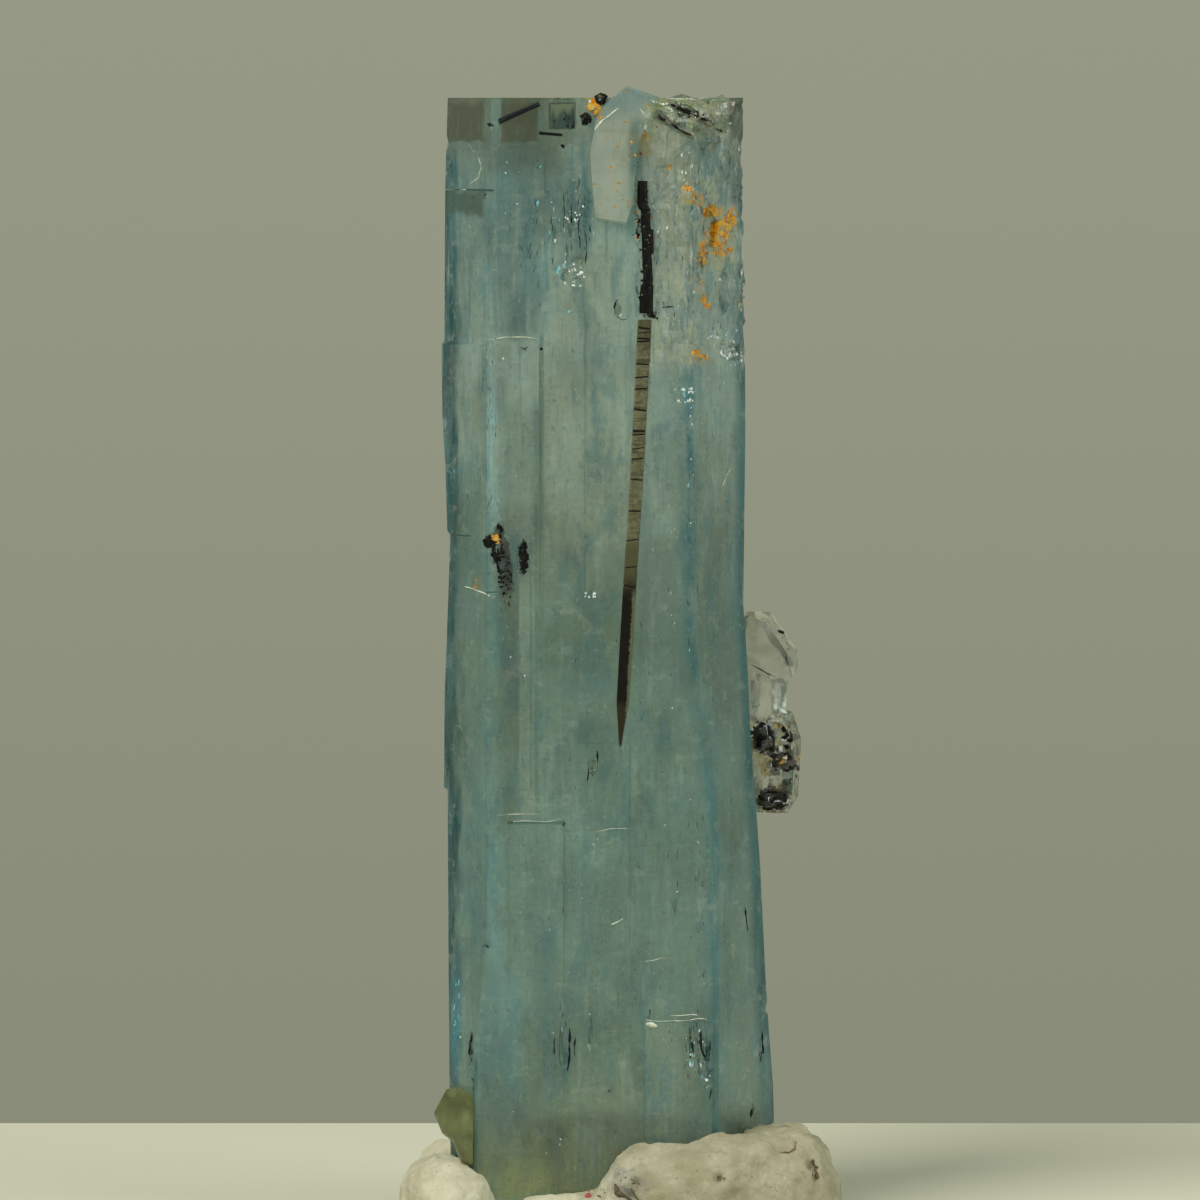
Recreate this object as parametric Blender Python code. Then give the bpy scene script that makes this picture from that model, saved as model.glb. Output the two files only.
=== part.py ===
# Aquamarine prism with schorl needles, a colourless cluster and a small olive crystal,
# standing in a pinch of mounting putty. Metres, +Z up, the broad front face towards -Y.
# The origin is on the surface it stands on, below the middle of the whole piece.

import math

import bmesh
import bpy
from mathutils import Euler, Matrix, Vector, noise

MM = 0.001

# Clearances between pieces that touch, and round the thin schorl pieces
GAP = 0.3 * MM
NEEDLE_GAP = 0.12 * MM

# Main crystal: depth from front to back, and its edges in mm as (height, sideways place)
FRONT = -4.3
BACK = 4.3
SIDE_SLOPE = math.tan(math.radians(60))
LEFT_EDGE = [
    (1.3, -8.7), (7.25, -8.78), (14.25, -8.85), (21.86, -8.88), (22.0, -9.08), (26.75, -9.03),
    (31.75, -8.83), (34.8, -8.73), (35.0, -8.88), (38.25, -8.98), (40.75, -9.13), (44.4, -9.18),
    (44.55, -9.03), (52.25, -8.98), (56.8, -8.83),
]
FRONT_LEFT_EDGE = [(1.3, -7.5), (8.7, -7.48), (15.2, -6.83), (44.4, -6.83), (44.55, -6.43), (56.8, -6.6)]
FRONT_RIGHT_EDGE = [
    (1.3, 4.8), (11.7, 4.78), (17.75, 4.58), (21.86, 4.38), (25.7, 3.83), (29.7, 3.48), (56.8, 3.4),
]
RIGHT_EDGE = [
    (1.3, 7.7), (5.2, 7.68), (6.75, 7.63), (9.25, 7.43), (12.25, 7.23), (17.75, 6.96), (21.0, 6.73),
    (24.0, 6.48), (27.7, 6.33), (31.25, 6.08), (40.0, 6.18), (46.75, 6.13), (51.75, 6.03), (56.8, 6.03),
]
CRYSTAL_TOP = 56.8
CRYSTAL_FOOT = 1.2

# Growth plates reach this far into the crystal, and their outer edges are drawn in this much
PLATE_ROOT = 0.5
PLATE_SLANT = 0.07

# The plates, in mm: left, right, bottom, top, how far they stand out below and above
FRONT_PLATES = [
    (-6.75, -4.15, 29.6, 44.75, 0.03, 0.24),
    (-4.05, -1.9, 30.2, 46.2, 0.02, 0.13),
    (-5.35, -4.6, 22.2, 34.6, 0.05, 0.17),
    (-5.75, -2.95, 6.4, 20.5, 0.04, 0.2),
    (1.0, 4.55, 3.2, 10.55, 0.3, 0.3),
    (-3.2, 0.35, 9.4, 24.6, 0.02, 0.1),
    (-6.2, -3.9, 48.8, 54.3, 0.02, 0.12),
]
BACK_PLATES = [
    (-7.4, -3.0, 12.0, 40.4, 0.05, 0.24),
    (-2.4, 1.6, 24.0, 51.5, 0.03, 0.2),
    (0.2, 4.4, 4.0, 19.8, 0.1, 0.26),
    (2.3, 3.9, 22.0, 35.3, 0.03, 0.15),
]

# Cracks along the base plane, in mm: left, right, height, depth
BASE_CRACKS = [
    (-9.6, -6.45, 52.2, 0.9),
    (-9.3, -7.7, 34.85, 0.6),
    (-8.4, -6.3, 32.15, 0.35),
    (-5.8, -2.9, 20.55, 0.4),
]
CRACK_HEIGHT = 0.12
CRACK_TIP_HEIGHT = 0.02
CRACK_MOUTH = FRONT - 0.6

# Etch pits in the front face, in mm: place, height, half width, half height, depth
ETCH_PITS = [
    (-2.6, 50.5, 0.3, 0.8, 0.3),
    (-2.2, 48.6, 0.42, 0.36, 0.26),
    (-2.95, 48.0, 0.24, 0.5, 0.24),
    (-3.45, 50.1, 0.14, 0.6, 0.18),
    (-0.25, 46.25, 0.24, 0.4, 0.35),
    (-1.55, 23.5, 0.3, 0.5, 0.16),
    (3.35, 9.35, 0.17, 0.95, 0.45),
    (4.15, 9.0, 0.24, 0.8, 0.5),
    (4.35, 8.0, 0.3, 0.35, 0.35),
    (-3.15, 9.3, 0.16, 1.2, 0.2),
    (-1.65, 9.8, 0.14, 0.9, 0.16),
    (2.6, 16.4, 0.12, 0.5, 0.14),
]

# Chips out of the outer edges, in mm: centre, radii
CHIPS = [
    ((6.2, -0.2, 50.9), (0.35, 0.8, 0.7)),
    ((6.3, 0.2, 49.4), (0.3, 0.9, 0.8)),
    ((6.45, 0.5, 47.6), (0.42, 1.0, 0.7)),
    ((5.75, -0.55, 44.0), (0.5, 0.6, 0.5)),
    ((5.2, -1.45, 47.2), (0.55, 0.5, 1.2)),
    ((4.5, -2.7, 50.6), (0.75, 0.55, 1.3)),
    ((3.9, -3.75, 48.4), (0.5, 0.5, 0.9)),
    ((2.6, -4.5, 52.8), (0.9, 0.42, 1.1)),
    ((5.3, -1.3, 53.4), (0.6, 0.5, 0.9)),
    ((7.52, 0.4, 10.65), (0.3, 0.9, 0.5)),
    ((-7.6, -4.6, 1.5), (0.9, 0.8, 0.8)),
    ((-9.1, -0.6, 54.6), (0.3, 0.7, 0.9)),
    ((3.6, 4.75, 30.0), (0.9, 0.6, 1.6)),
    ((-6.0, 4.8, 46.0), (1.1, 0.7, 1.3)),
]

# The pale grown-together plate with its low pointed tip, outlined in the front plane in mm
TIP_OUTLINE = [
    (-1.42, 55.55), (-1.67, 54.05), (-1.52, 51.65), (-1.42, 50.75), (0.13, 50.5), (0.5, 51.5),
    (0.75, 54.5), (1.75, 56.85), (0.17, 57.4), (-0.57, 56.8), (-1.1, 56.3),
]
TIP_FRONT = -4.58
TIP_BACK = -2.7

# The low rough flake and the chip at the upper right, in mm: centre, radii
UPPER_LUMPS = [
    ((2.9, -3.95, 56.0), (1.9, 0.6, 0.85)),
    ((4.85, -2.75, 55.95), (0.75, 0.95, 0.9)),
    ((4.0, -3.3, 54.6), (0.8, 0.5, 0.7)),
    ((3.4, -3.95, 51.0), (0.6, 0.42, 1.1)),
]

# Needles lying in the front face, as (sideways, height, half width) in mm from top to bottom
# and how far behind the face the middle of each lies
LONG_NEEDLE = [
    (1.06, 45.75, 0.36), (1.0, 44.6, 0.37), (0.65, 37.75, 0.34), (0.33, 32.75, 0.34),
    (0.09, 28.75, 0.33), (-0.03, 26.6, 0.32), (-0.12, 25.4, 0.16), (-0.17, 24.2, 0.05),
]
UPPER_NEEDLE = [
    (0.93, 52.65, 0.24), (0.93, 51.5, 0.25), (1.06, 51.2, 0.29), (1.12, 49.0, 0.3), (1.2, 48.0, 0.31),
    (1.14, 46.1, 0.36),
]
LONG_NEEDLE_IN = 0.1
UPPER_NEEDLE_IN = 0.02
NEEDLE_DEPTH = 0.26
NEEDLE_SIDES = 8

# Straight rods, in mm: name, one end, other end, radius
RODS = [
    ("schorl_needle_top_left", (-6.2, -4.32, 55.62), (-4.2, -4.28, 56.5), 0.14),
    ("schorl_needle_top_short", (-4.2, -4.3, 55.05), (-3.05, -4.3, 54.95), 0.08),
    ("schorl_needle_flake", (2.6, -4.42, 56.42), (4.35, -4.22, 55.5), 0.15),
    ("schorl_needle_flake_low", (1.62, -4.3, 55.95), (3.4, -4.42, 54.9), 0.11),
]

# Black grains and lumps, in mm: name, list of (centre, radii) that are one piece
GRAINS = [
    ("schorl_grain_top", [((-1.12, -4.05, 56.72), (0.24, 0.3, 0.26))]),
    ("schorl_grain_plate", [((-1.85, -4.3, 55.75), (0.18, 0.2, 0.22))]),
    (
        "schorl_tuft",
        [
            ((-6.55, -4.3, 34.75), (0.32, 0.26, 0.3)),
            ((-6.15, -4.36, 35.15), (0.26, 0.26, 0.42)),
            ((-5.95, -4.4, 34.2), (0.34, 0.26, 0.85)),
            ((-5.7, -4.35, 33.0), (0.2, 0.2, 0.95)),
        ],
    ),
    ("schorl_patch", [((-5.0, -4.45, 33.9), (0.24, 0.2, 0.9))]),
]
BLOCK_CENTRE = (-3.05, -3.85, 55.9)
BLOCK_SIZE = (1.1, 0.96, 1.1)

# Colourless cluster behind the right side: (centre, width, length, tilt about Y, tilt about X, turn)
CLUSTER_CRYSTALS = [
    ((7.0, 2.6, 28.75), 3.1, 3.9, -34, 8, 12),
    ((7.05, 2.45, 26.3), 2.9, 3.2, 7, 5, 25),
    ((7.5, 2.35, 22.75), 3.2, 4.6, 3, -3, 17),
    ((8.05, 1.75, 24.7), 1.7, 2.2, -18, 0, 48),
    ((6.5, 2.9, 25.0), 2.7, 7.2, 0, 0, 0),
]
CLUSTER_TIP = 0.62
CLUSTER_LOW = 18.0
CLUSTER_HIGH = 34.0

# Black pieces on the cluster, in mm: name, centre, radii
CLUSTER_GRAINS = [
    ("schorl_cluster_upper", (7.15, 1.0, 24.3), (0.48, 0.36, 0.72)),
    ("schorl_cluster_middle", (8.2, 0.9, 23.15), (0.55, 0.36, 0.36)),
    ("schorl_cluster_lower", (7.65, 0.9, 21.15), (0.78, 0.4, 0.42)),
]

# Olive crystal at the lower left, outlined in the front plane in mm
OLIVE_OUTLINE = [
    (-8.78, 6.95), (-8.38, 7.05), (-7.4, 6.5), (-7.2, 3.9), (-7.5, 3.2), (-8.0, 3.5), (-8.45, 4.6),
    (-8.95, 5.0), (-9.33, 5.9),
]
OLIVE_FRONT = -4.55
OLIVE_BACK = -2.45
OLIVE_HALF_WIDTH = 1.2
OLIVE_CLEAR_TO = 12.0

# Putty lumps, in mm: centre, radii, turn about Z in degrees, fineness of the sphere
PUTTY_LUMPS = [
    ((0.2, 0.0, 0.4), (10.5, 8.2, 1.95), 0, 4),
    ((4.6, -4.7, 1.5), (6.2, 3.2, 3.35), 6, 4),
    ((7.9, -2.7, 1.6), (3.1, 3.9, 3.5), -20, 3),
    ((7.7, 2.4, 1.5), (3.2, 4.1, 2.7), 10, 3),
    ((-8.9, -3.1, 1.1), (2.3, 3.7, 2.6), 12, 3),
    ((-8.2, 1.9, 1.3), (2.9, 3.7, 2.5), -12, 3),
    ((-0.4, 5.15, 1.5), (8.1, 3.1, 3.5), 0, 3),
]
SOCKET_FLOOR = 0.9
SOCKET_TOP = 20.0
BELOW_SIZE = (40.0, 40.0, 10.0)
WAVE_SIZE = 2.7
WAVE_DEPTH = 0.5


def clear_scene():
    """Removes whatever the scene starts with."""
    for old in list(bpy.data.objects):
        bpy.data.objects.remove(old, do_unlink=True)


def material(name, colour, roughness, metallic=0.0):
    """A plain Principled material."""
    made = bpy.data.materials.new(name)
    made.use_nodes = True
    shader = made.node_tree.nodes["Principled BSDF"]
    shader.inputs["Base Color"].default_value = (*colour, 1.0)
    shader.inputs["Roughness"].default_value = roughness
    shader.inputs["Metallic"].default_value = metallic
    made.diffuse_color = (*colour, 1.0)
    return made


def add_object(name, mesh, finish, helper=False):
    """Turns a bmesh in millimetres into an object in metres."""
    bmesh.ops.recalc_face_normals(mesh, faces=mesh.faces)
    bmesh.ops.scale(mesh, vec=(MM, MM, MM), verts=mesh.verts)
    data = bpy.data.meshes.new(name)
    mesh.to_mesh(data)
    mesh.free()
    data.materials.append(finish)
    made = bpy.data.objects.new(name, data)
    bpy.context.scene.collection.objects.link(made)
    if helper:
        made.hide_render = True
        made.display_type = "WIRE"
    return made


def boolean(target, other, operation):
    """Adds a live Boolean step to the target."""
    step = target.modifiers.new(f"{operation.lower()} {other.name}", "BOOLEAN")
    step.operation = operation
    step.object = other
    step.solver = "EXACT"


def along(profile, height):
    """The place of an edge at a height, read from its straight stretches."""
    if height <= profile[0][0]:
        return profile[0][1]
    for (low, start), (high, end) in zip(profile, profile[1:]):
        if height <= high:
            return start + (end - start) * (height - low) / (high - low)
    return profile[-1][1]


def prism_section(height, grow):
    """The six corners of the crystal at a height, every face moved outwards by grow."""
    corner = grow / math.cos(math.radians(30))
    shoulder = grow * math.tan(math.radians(30))
    left = along(LEFT_EDGE, height) - corner
    right = along(RIGHT_EDGE, height) + corner
    front_left = along(FRONT_LEFT_EDGE, height) - shoulder
    front_right = along(FRONT_RIGHT_EDGE, height) + shoulder
    front = FRONT - grow
    back = BACK + grow
    left_depth = front + (front_left - left) * SIDE_SLOPE
    right_depth = front + (right - front_right) * SIDE_SLOPE
    back_left = left + (back - left_depth) / SIDE_SLOPE
    back_right = right - (back - right_depth) / SIDE_SLOPE
    return [
        (left, left_depth), (front_left, front), (front_right, front),
        (right, right_depth), (back_right, back), (back_left, back),
    ]


def loft(mesh, rings):
    """Bridges rings with the same number of points and closes both ends."""
    made = [[mesh.verts.new(point) for point in ring] for ring in rings]
    for lower, upper in zip(made, made[1:]):
        for i in range(len(lower)):
            j = (i + 1) % len(lower)
            mesh.faces.new((lower[i], lower[j], upper[j], upper[i]))
    mesh.faces.new(made[0][::-1])
    mesh.faces.new(made[-1])


def prism(bottom, top, grow=0.0):
    """The main crystal between two heights."""
    profiles = (LEFT_EDGE, FRONT_LEFT_EDGE, FRONT_RIGHT_EDGE, RIGHT_EDGE)
    turns = {height for profile in profiles for height, _ in profile}
    heights = [bottom] + sorted(h for h in turns if bottom < h < top) + [top]
    mesh = bmesh.new()
    loft(mesh, [[(x, y, h) for x, y in prism_section(h, grow)] for h in heights])
    return mesh


def growth_plate(left, right, bottom, top, proud_low, proud_high, face, outwards):
    """A block that stands out of a broad face, a little narrower at its outer side."""
    inside = face - outwards * PLATE_ROOT
    slant = PLATE_SLANT
    low = face + outwards * proud_low
    high = face + outwards * proud_high
    inner = [(left, inside, bottom), (right, inside, bottom), (right, inside, top), (left, inside, top)]
    outer = [
        (left + slant, low, bottom + slant), (right - slant, low, bottom + slant),
        (right - slant, high, top - slant / 2), (left + slant, high, top - slant / 2),
    ]
    mesh = bmesh.new()
    loft(mesh, [inner, outer])
    return mesh


def base_crack(left, right, height, depth):
    """A wedge that opens at the front and closes inside the crystal."""
    corner_depth = prism_section(height, 0.0)[0][1]
    beyond_corner = left < along(LEFT_EDGE, height)
    inside = (corner_depth if beyond_corner else FRONT) + depth

    def ring(y, half):
        low, high = height - half, height + half
        return [(left, y, low), (right, y, low), (right, y, high), (left, y, high)]

    mesh = bmesh.new()
    loft(mesh, [ring(CRACK_MOUTH, CRACK_HEIGHT / 2), ring(inside, CRACK_TIP_HEIGHT / 2)])
    return mesh


def rough_lump(centre, radii, detail=2, roughness=0.14, grow=0.0):
    """A flat-faced lump: a sphere of triangles pulled out of round by smooth noise."""
    mesh = bmesh.new()
    bmesh.ops.create_icosphere(mesh, subdivisions=detail, radius=1.0)
    middle = Vector(centre)
    for vert in mesh.verts:
        pull = 1.0 + roughness * noise.noise(vert.co * 1.7 + middle * 3.1)
        vert.co = Vector(r * pull * c + grow * c for r, c in zip(radii, vert.co)) + middle
    return mesh


def extruded_outline(outline, front, back, shrink_front, shrink_back):
    """An outline in the front plane run back, each end drawn in a little towards its middle."""
    middle_x = sum(x for x, _ in outline) / len(outline)
    middle_z = sum(z for _, z in outline) / len(outline)

    def ring(y, share):
        return [(middle_x + (x - middle_x) * share, y, middle_z + (z - middle_z) * share) for x, z in outline]

    waist = front + 0.12 * (back - front)
    mesh = bmesh.new()
    loft(mesh, [ring(front, shrink_front), ring(waist, 1.0), ring(back, shrink_back)])
    return mesh


def needle(stations, depth_middle, grow=0.0):
    """A bladed needle through its stations, each a flattened ring in a level plane."""
    rings = []
    last = len(stations) - 1
    for i, (x, z, half_width) in enumerate(stations):
        height = z + (grow if i == 0 else -grow if i == last else 0.0)
        deep = min(NEEDLE_DEPTH, half_width * 1.2) + grow
        wide = half_width + grow
        turns = [2 * math.pi * (k + 0.5) / NEEDLE_SIDES for k in range(NEEDLE_SIDES)]
        rings.append([(x + wide * math.cos(t), depth_middle + deep * math.sin(t), height) for t in turns])
    mesh = bmesh.new()
    loft(mesh, rings[::-1])
    return mesh


def rod(start, end, radius, grow=0.0):
    """A six-sided rod between two points."""
    one, two = Vector(start), Vector(end)
    run = two - one
    turn = run.to_track_quat("Z", "Y").to_matrix().to_4x4()
    mesh = bmesh.new()
    bmesh.ops.create_cone(
        mesh, cap_ends=True, segments=6, radius1=radius + grow, radius2=radius * 0.85 + grow,
        depth=run.length + 2 * grow, matrix=Matrix.Translation((one + two) / 2) @ turn,
    )
    return mesh


def block(centre, size, grow=0.0):
    """A square-cornered block."""
    mesh = bmesh.new()
    stretch = Matrix.Diagonal((*(s + 2 * grow for s in size), 1.0))
    bmesh.ops.create_cube(mesh, size=1.0, matrix=Matrix.Translation(centre) @ stretch)
    return mesh


def pointed_crystal(centre, width, length, tilt_y, tilt_x, turn):
    """A short six-sided crystal with a slanting six-sided end above and a flat one below."""
    radius = width / 2
    body = length * CLUSTER_TIP / 2
    tip = length / 2
    mesh = bmesh.new()
    rings = []
    for height, share in ((-tip, 0.7), (-body, 1.0), (body, 1.0), (tip, 0.38)):
        angles = [math.radians(turn + 60 * k) for k in range(6)]
        rings.append([(radius * share * math.cos(a), radius * share * math.sin(a), height) for a in angles])
    loft(mesh, rings)
    placed = Euler((math.radians(tilt_x), math.radians(tilt_y), 0)).to_matrix().to_4x4()
    bmesh.ops.transform(mesh, matrix=Matrix.Translation(centre) @ placed, verts=mesh.verts)
    return mesh


def putty_lump(centre, radii, turn, detail):
    """A soft lump, its surface raised and lowered by slow waves."""
    mesh = bmesh.new()
    bmesh.ops.create_icosphere(mesh, subdivisions=detail, radius=1.0)
    spin = Matrix.Rotation(math.radians(turn), 3, "Z")
    for vert in mesh.verts:
        outward = vert.co.normalized()
        place = spin @ Vector(r * c for r, c in zip(radii, outward)) + Vector(centre)
        vert.co = place + (spin @ outward) * WAVE_DEPTH * noise.noise(place / WAVE_SIZE)
    return mesh


def schorl_pieces(grow):
    """Name and mesh of each schorl piece on the main crystal, or of its pocket when grown."""
    pieces = [
        ("schorl_needle_long", [needle(LONG_NEEDLE, FRONT + LONG_NEEDLE_IN, grow)]),
        ("schorl_needle_upper", [needle(UPPER_NEEDLE, FRONT + UPPER_NEEDLE_IN, grow)]),
        ("schorl_block_top", [block(BLOCK_CENTRE, BLOCK_SIZE, grow)]),
    ]
    pieces += [(name, [rod(start, end, radius, grow)]) for name, start, end, radius in RODS]
    pieces += [
        (name, [rough_lump(centre, radii, grow=grow) for centre, radii in lumps]) for name, lumps in GRAINS
    ]
    return pieces


def join_parts(target, parts, finish, operation, label):
    """Adds or cuts each shape in a list of meshes."""
    for count, mesh in enumerate(parts):
        helper = add_object(f"{label}_{count}", mesh, finish, helper=True)
        boolean(target, helper, operation)


def make_schorl(finish):
    for name, meshes in schorl_pieces(0.0):
        piece = add_object(name, meshes[0], finish)
        join_parts(piece, meshes[1:], finish, "UNION", f"{name}_lump")


def make_aquamarine(finish, helper_finish):
    crystal = add_object("aquamarine", prism(CRYSTAL_FOOT, CRYSTAL_TOP), finish)
    plates = [growth_plate(*plate, FRONT, -1) for plate in FRONT_PLATES]
    plates += [growth_plate(*plate, BACK, 1) for plate in BACK_PLATES]
    plates.append(extruded_outline(TIP_OUTLINE, TIP_FRONT, TIP_BACK, 0.97, 0.8))
    plates += [rough_lump(centre, radii, roughness=0.6) for centre, radii in UPPER_LUMPS]
    join_parts(crystal, plates, helper_finish, "UNION", "growth")
    cuts = [base_crack(*crack) for crack in BASE_CRACKS]
    cuts += [
        rough_lump((place, FRONT, height), (half_width, depth, half_height), detail=1, roughness=0.7)
        for place, height, half_width, half_height, depth in ETCH_PITS
    ]
    cuts += [rough_lump(centre, radii, roughness=0.5) for centre, radii in CHIPS]
    join_parts(crystal, cuts, helper_finish, "DIFFERENCE", "cut")
    for name, pockets in schorl_pieces(NEEDLE_GAP / MM):
        join_parts(crystal, pockets, helper_finish, "DIFFERENCE", f"pocket_{name}")


def cluster_grain(centre, radii, grow=0.0):
    """A black grain on the cluster, or its pocket when grown."""
    return rough_lump(centre, radii, roughness=0.4, grow=grow)


def make_cluster(finish, schorl, helper_finish):
    """Clear crystals grown together beside the prism, with the prism's own shape kept clear."""
    first, *others = [pointed_crystal(*shape) for shape in CLUSTER_CRYSTALS]
    cluster = add_object("clear_crystal_cluster", first, finish)
    join_parts(cluster, others, helper_finish, "UNION", "cluster_crystal")
    beside = prism(CLUSTER_LOW, CLUSTER_HIGH, GAP / MM)
    keep_clear = add_object("cluster_clearance", beside, helper_finish, helper=True)
    boolean(cluster, keep_clear, "DIFFERENCE")
    pockets = [cluster_grain(centre, radii, NEEDLE_GAP / MM) for _, centre, radii in CLUSTER_GRAINS]
    join_parts(cluster, pockets, helper_finish, "DIFFERENCE", "cluster_pocket")
    for name, centre, radii in CLUSTER_GRAINS:
        add_object(name, cluster_grain(centre, radii), schorl)


def olive_shape(grow):
    """The olive crystal, its outline spread from its middle by grow."""
    middle_x = sum(x for x, _ in OLIVE_OUTLINE) / len(OLIVE_OUTLINE)
    middle_z = sum(z for _, z in OLIVE_OUTLINE) / len(OLIVE_OUTLINE)
    share = 1.0 + grow / OLIVE_HALF_WIDTH
    grown = [
        (middle_x + (x - middle_x) * share, middle_z + (z - middle_z) * share) for x, z in OLIVE_OUTLINE
    ]
    return extruded_outline(grown, OLIVE_FRONT - grow, OLIVE_BACK + grow, 0.86, 0.9)


def make_olive(finish, helper_finish):
    olive = add_object("olive_crystal", olive_shape(0.0), finish)
    beside = prism(CRYSTAL_FOOT, OLIVE_CLEAR_TO, GAP / MM)
    keep_clear = add_object("olive_clearance", beside, helper_finish, helper=True)
    boolean(olive, keep_clear, "DIFFERENCE")


def make_putty(finish, helper_finish):
    """Soft lumps in one piece, flat below, with a socket for the crystal's foot."""
    first, *others = [putty_lump(*shape) for shape in PUTTY_LUMPS]
    putty = add_object("mounting_putty", first, finish)
    join_parts(putty, others, helper_finish, "UNION", "putty_lump")
    underneath = block((0, 0, -BELOW_SIZE[2] / 2), BELOW_SIZE)
    below = add_object("below", underneath, helper_finish, helper=True)
    boolean(putty, below, "DIFFERENCE")
    foot = prism(SOCKET_FLOOR, SOCKET_TOP, GAP / MM)
    boolean(putty, add_object("socket", foot, helper_finish, helper=True), "DIFFERENCE")
    beside = add_object("olive_socket", olive_shape(GAP / MM), helper_finish, helper=True)
    boolean(putty, beside, "DIFFERENCE")


def main():
    clear_scene()
    aqua = material("aquamarine", (0.13, 0.26, 0.25), 0.25)
    schorl = material("schorl", (0.012, 0.011, 0.009), 0.35)
    clear = material("clear crystal", (0.55, 0.56, 0.5), 0.12)
    olive = material("olive crystal", (0.13, 0.15, 0.05), 0.3)
    putty = material("putty", (0.56, 0.52, 0.38), 0.75)
    guide = material("guide", (0.8, 0.3, 0.1), 0.5)
    make_aquamarine(aqua, guide)
    make_schorl(schorl)
    make_cluster(clear, schorl, guide)
    make_olive(olive, guide)
    make_putty(putty, guide)


main()
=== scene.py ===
# Aquamarine with schorl in a pinch of mounting putty: looks, light and camera.
import math
import random

import bmesh
import bpy
from mathutils import Matrix, Vector, noise


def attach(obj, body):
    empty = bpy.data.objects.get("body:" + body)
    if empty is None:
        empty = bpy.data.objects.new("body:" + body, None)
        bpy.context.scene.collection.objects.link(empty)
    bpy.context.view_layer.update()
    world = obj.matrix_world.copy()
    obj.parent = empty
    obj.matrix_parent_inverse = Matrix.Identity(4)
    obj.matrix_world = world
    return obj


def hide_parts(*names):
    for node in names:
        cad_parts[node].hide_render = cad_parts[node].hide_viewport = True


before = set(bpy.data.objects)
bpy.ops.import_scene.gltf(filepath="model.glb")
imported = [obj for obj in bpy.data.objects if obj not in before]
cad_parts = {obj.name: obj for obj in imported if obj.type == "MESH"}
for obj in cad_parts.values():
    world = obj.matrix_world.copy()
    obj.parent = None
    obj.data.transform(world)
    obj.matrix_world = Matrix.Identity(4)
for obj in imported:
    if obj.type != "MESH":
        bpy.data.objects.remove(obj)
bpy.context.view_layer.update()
mm = 0.001
noise.seed_set(7)  # the threads waver alike in every run
frontFace = -4.3 * mm  # the crystal's front
mergeWithin = 0.002 * mm
cutWithin = 0.0005 * mm  # the bisect operator's own 0.1 mm is too coarse here


# small helpers for modelling by hand

def objectMode():
    bpy.ops.object.mode_set(mode="OBJECT")


def deselectAll():
    if bpy.context.mode != "OBJECT":
        objectMode()
    bpy.ops.object.select_all(action="DESELECT")


def pickOnly(piece):
    deselectAll()
    piece.select_set(True)
    bpy.context.view_layer.objects.active = piece


def editMode(piece, action="DESELECT"):
    pickOnly(piece)
    bpy.ops.object.mode_set(mode="EDIT")
    bpy.ops.mesh.select_all(action=action)


def copyOfNode(nodeName, pieceName):
    # a node's mesh is loose triangles, so its copy is merged first
    piece = bpy.data.objects.new(pieceName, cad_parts[nodeName].data.copy())
    bpy.context.scene.collection.objects.link(piece)
    piece.data.name = pieceName
    piece.data.materials.clear()
    editMode(piece, "SELECT")
    bpy.ops.mesh.remove_doubles(threshold=mergeWithin)
    bpy.ops.mesh.customdata_custom_splitnormals_clear()
    objectMode()
    return piece


def cutAcross(piece, place, normal, clear=False):
    editMode(piece, "SELECT")
    bpy.ops.mesh.bisect(
        plane_co=place, plane_no=normal, clear_inner=clear, use_fill=clear, threshold=cutWithin,
    )
    objectMode()


def fatten(piece, amount):
    editMode(piece, "SELECT")
    bpy.ops.transform.shrink_fatten(value=amount)
    objectMode()


def joinPieces(pieces, name):
    deselectAll()
    for piece in pieces:
        piece.select_set(True)
    bpy.context.view_layer.objects.active = pieces[0]
    bpy.ops.object.join()
    joined = bpy.context.view_layer.objects.active
    joined.name = joined.data.name = name
    return joined


def applyPlace(piece):
    pickOnly(piece)
    bpy.ops.object.transform_apply(location=True, rotation=True, scale=True)


def applyModifier(piece, kind, **settings):
    pickOnly(piece)
    step = piece.modifiers.new(kind.lower(), kind)
    for name, value in settings.items():
        setattr(step, name, value)
    bpy.ops.object.modifier_apply(modifier=step.name)


def shadeWithin(piece, degrees):
    pickOnly(piece)
    bpy.ops.object.shade_smooth_by_angle(angle=math.radians(degrees))


def finishPiece(piece, material, slotName, *nodes):
    if material is not None:
        piece.data.materials.clear()
        piece.data.materials.append(material)
    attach(piece, "root")
    if nodes:
        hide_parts(*nodes)


# small helpers for materials

def tone(red, green, blue):
    # a colour picked on screen, 0 to 255, made linear
    def linear(value):
        share = value / 255
        return share / 12.92 if share <= 0.04045 else ((share + 0.055) / 1.055) ** 2.4

    return (linear(red), linear(green), linear(blue), 1)


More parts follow.
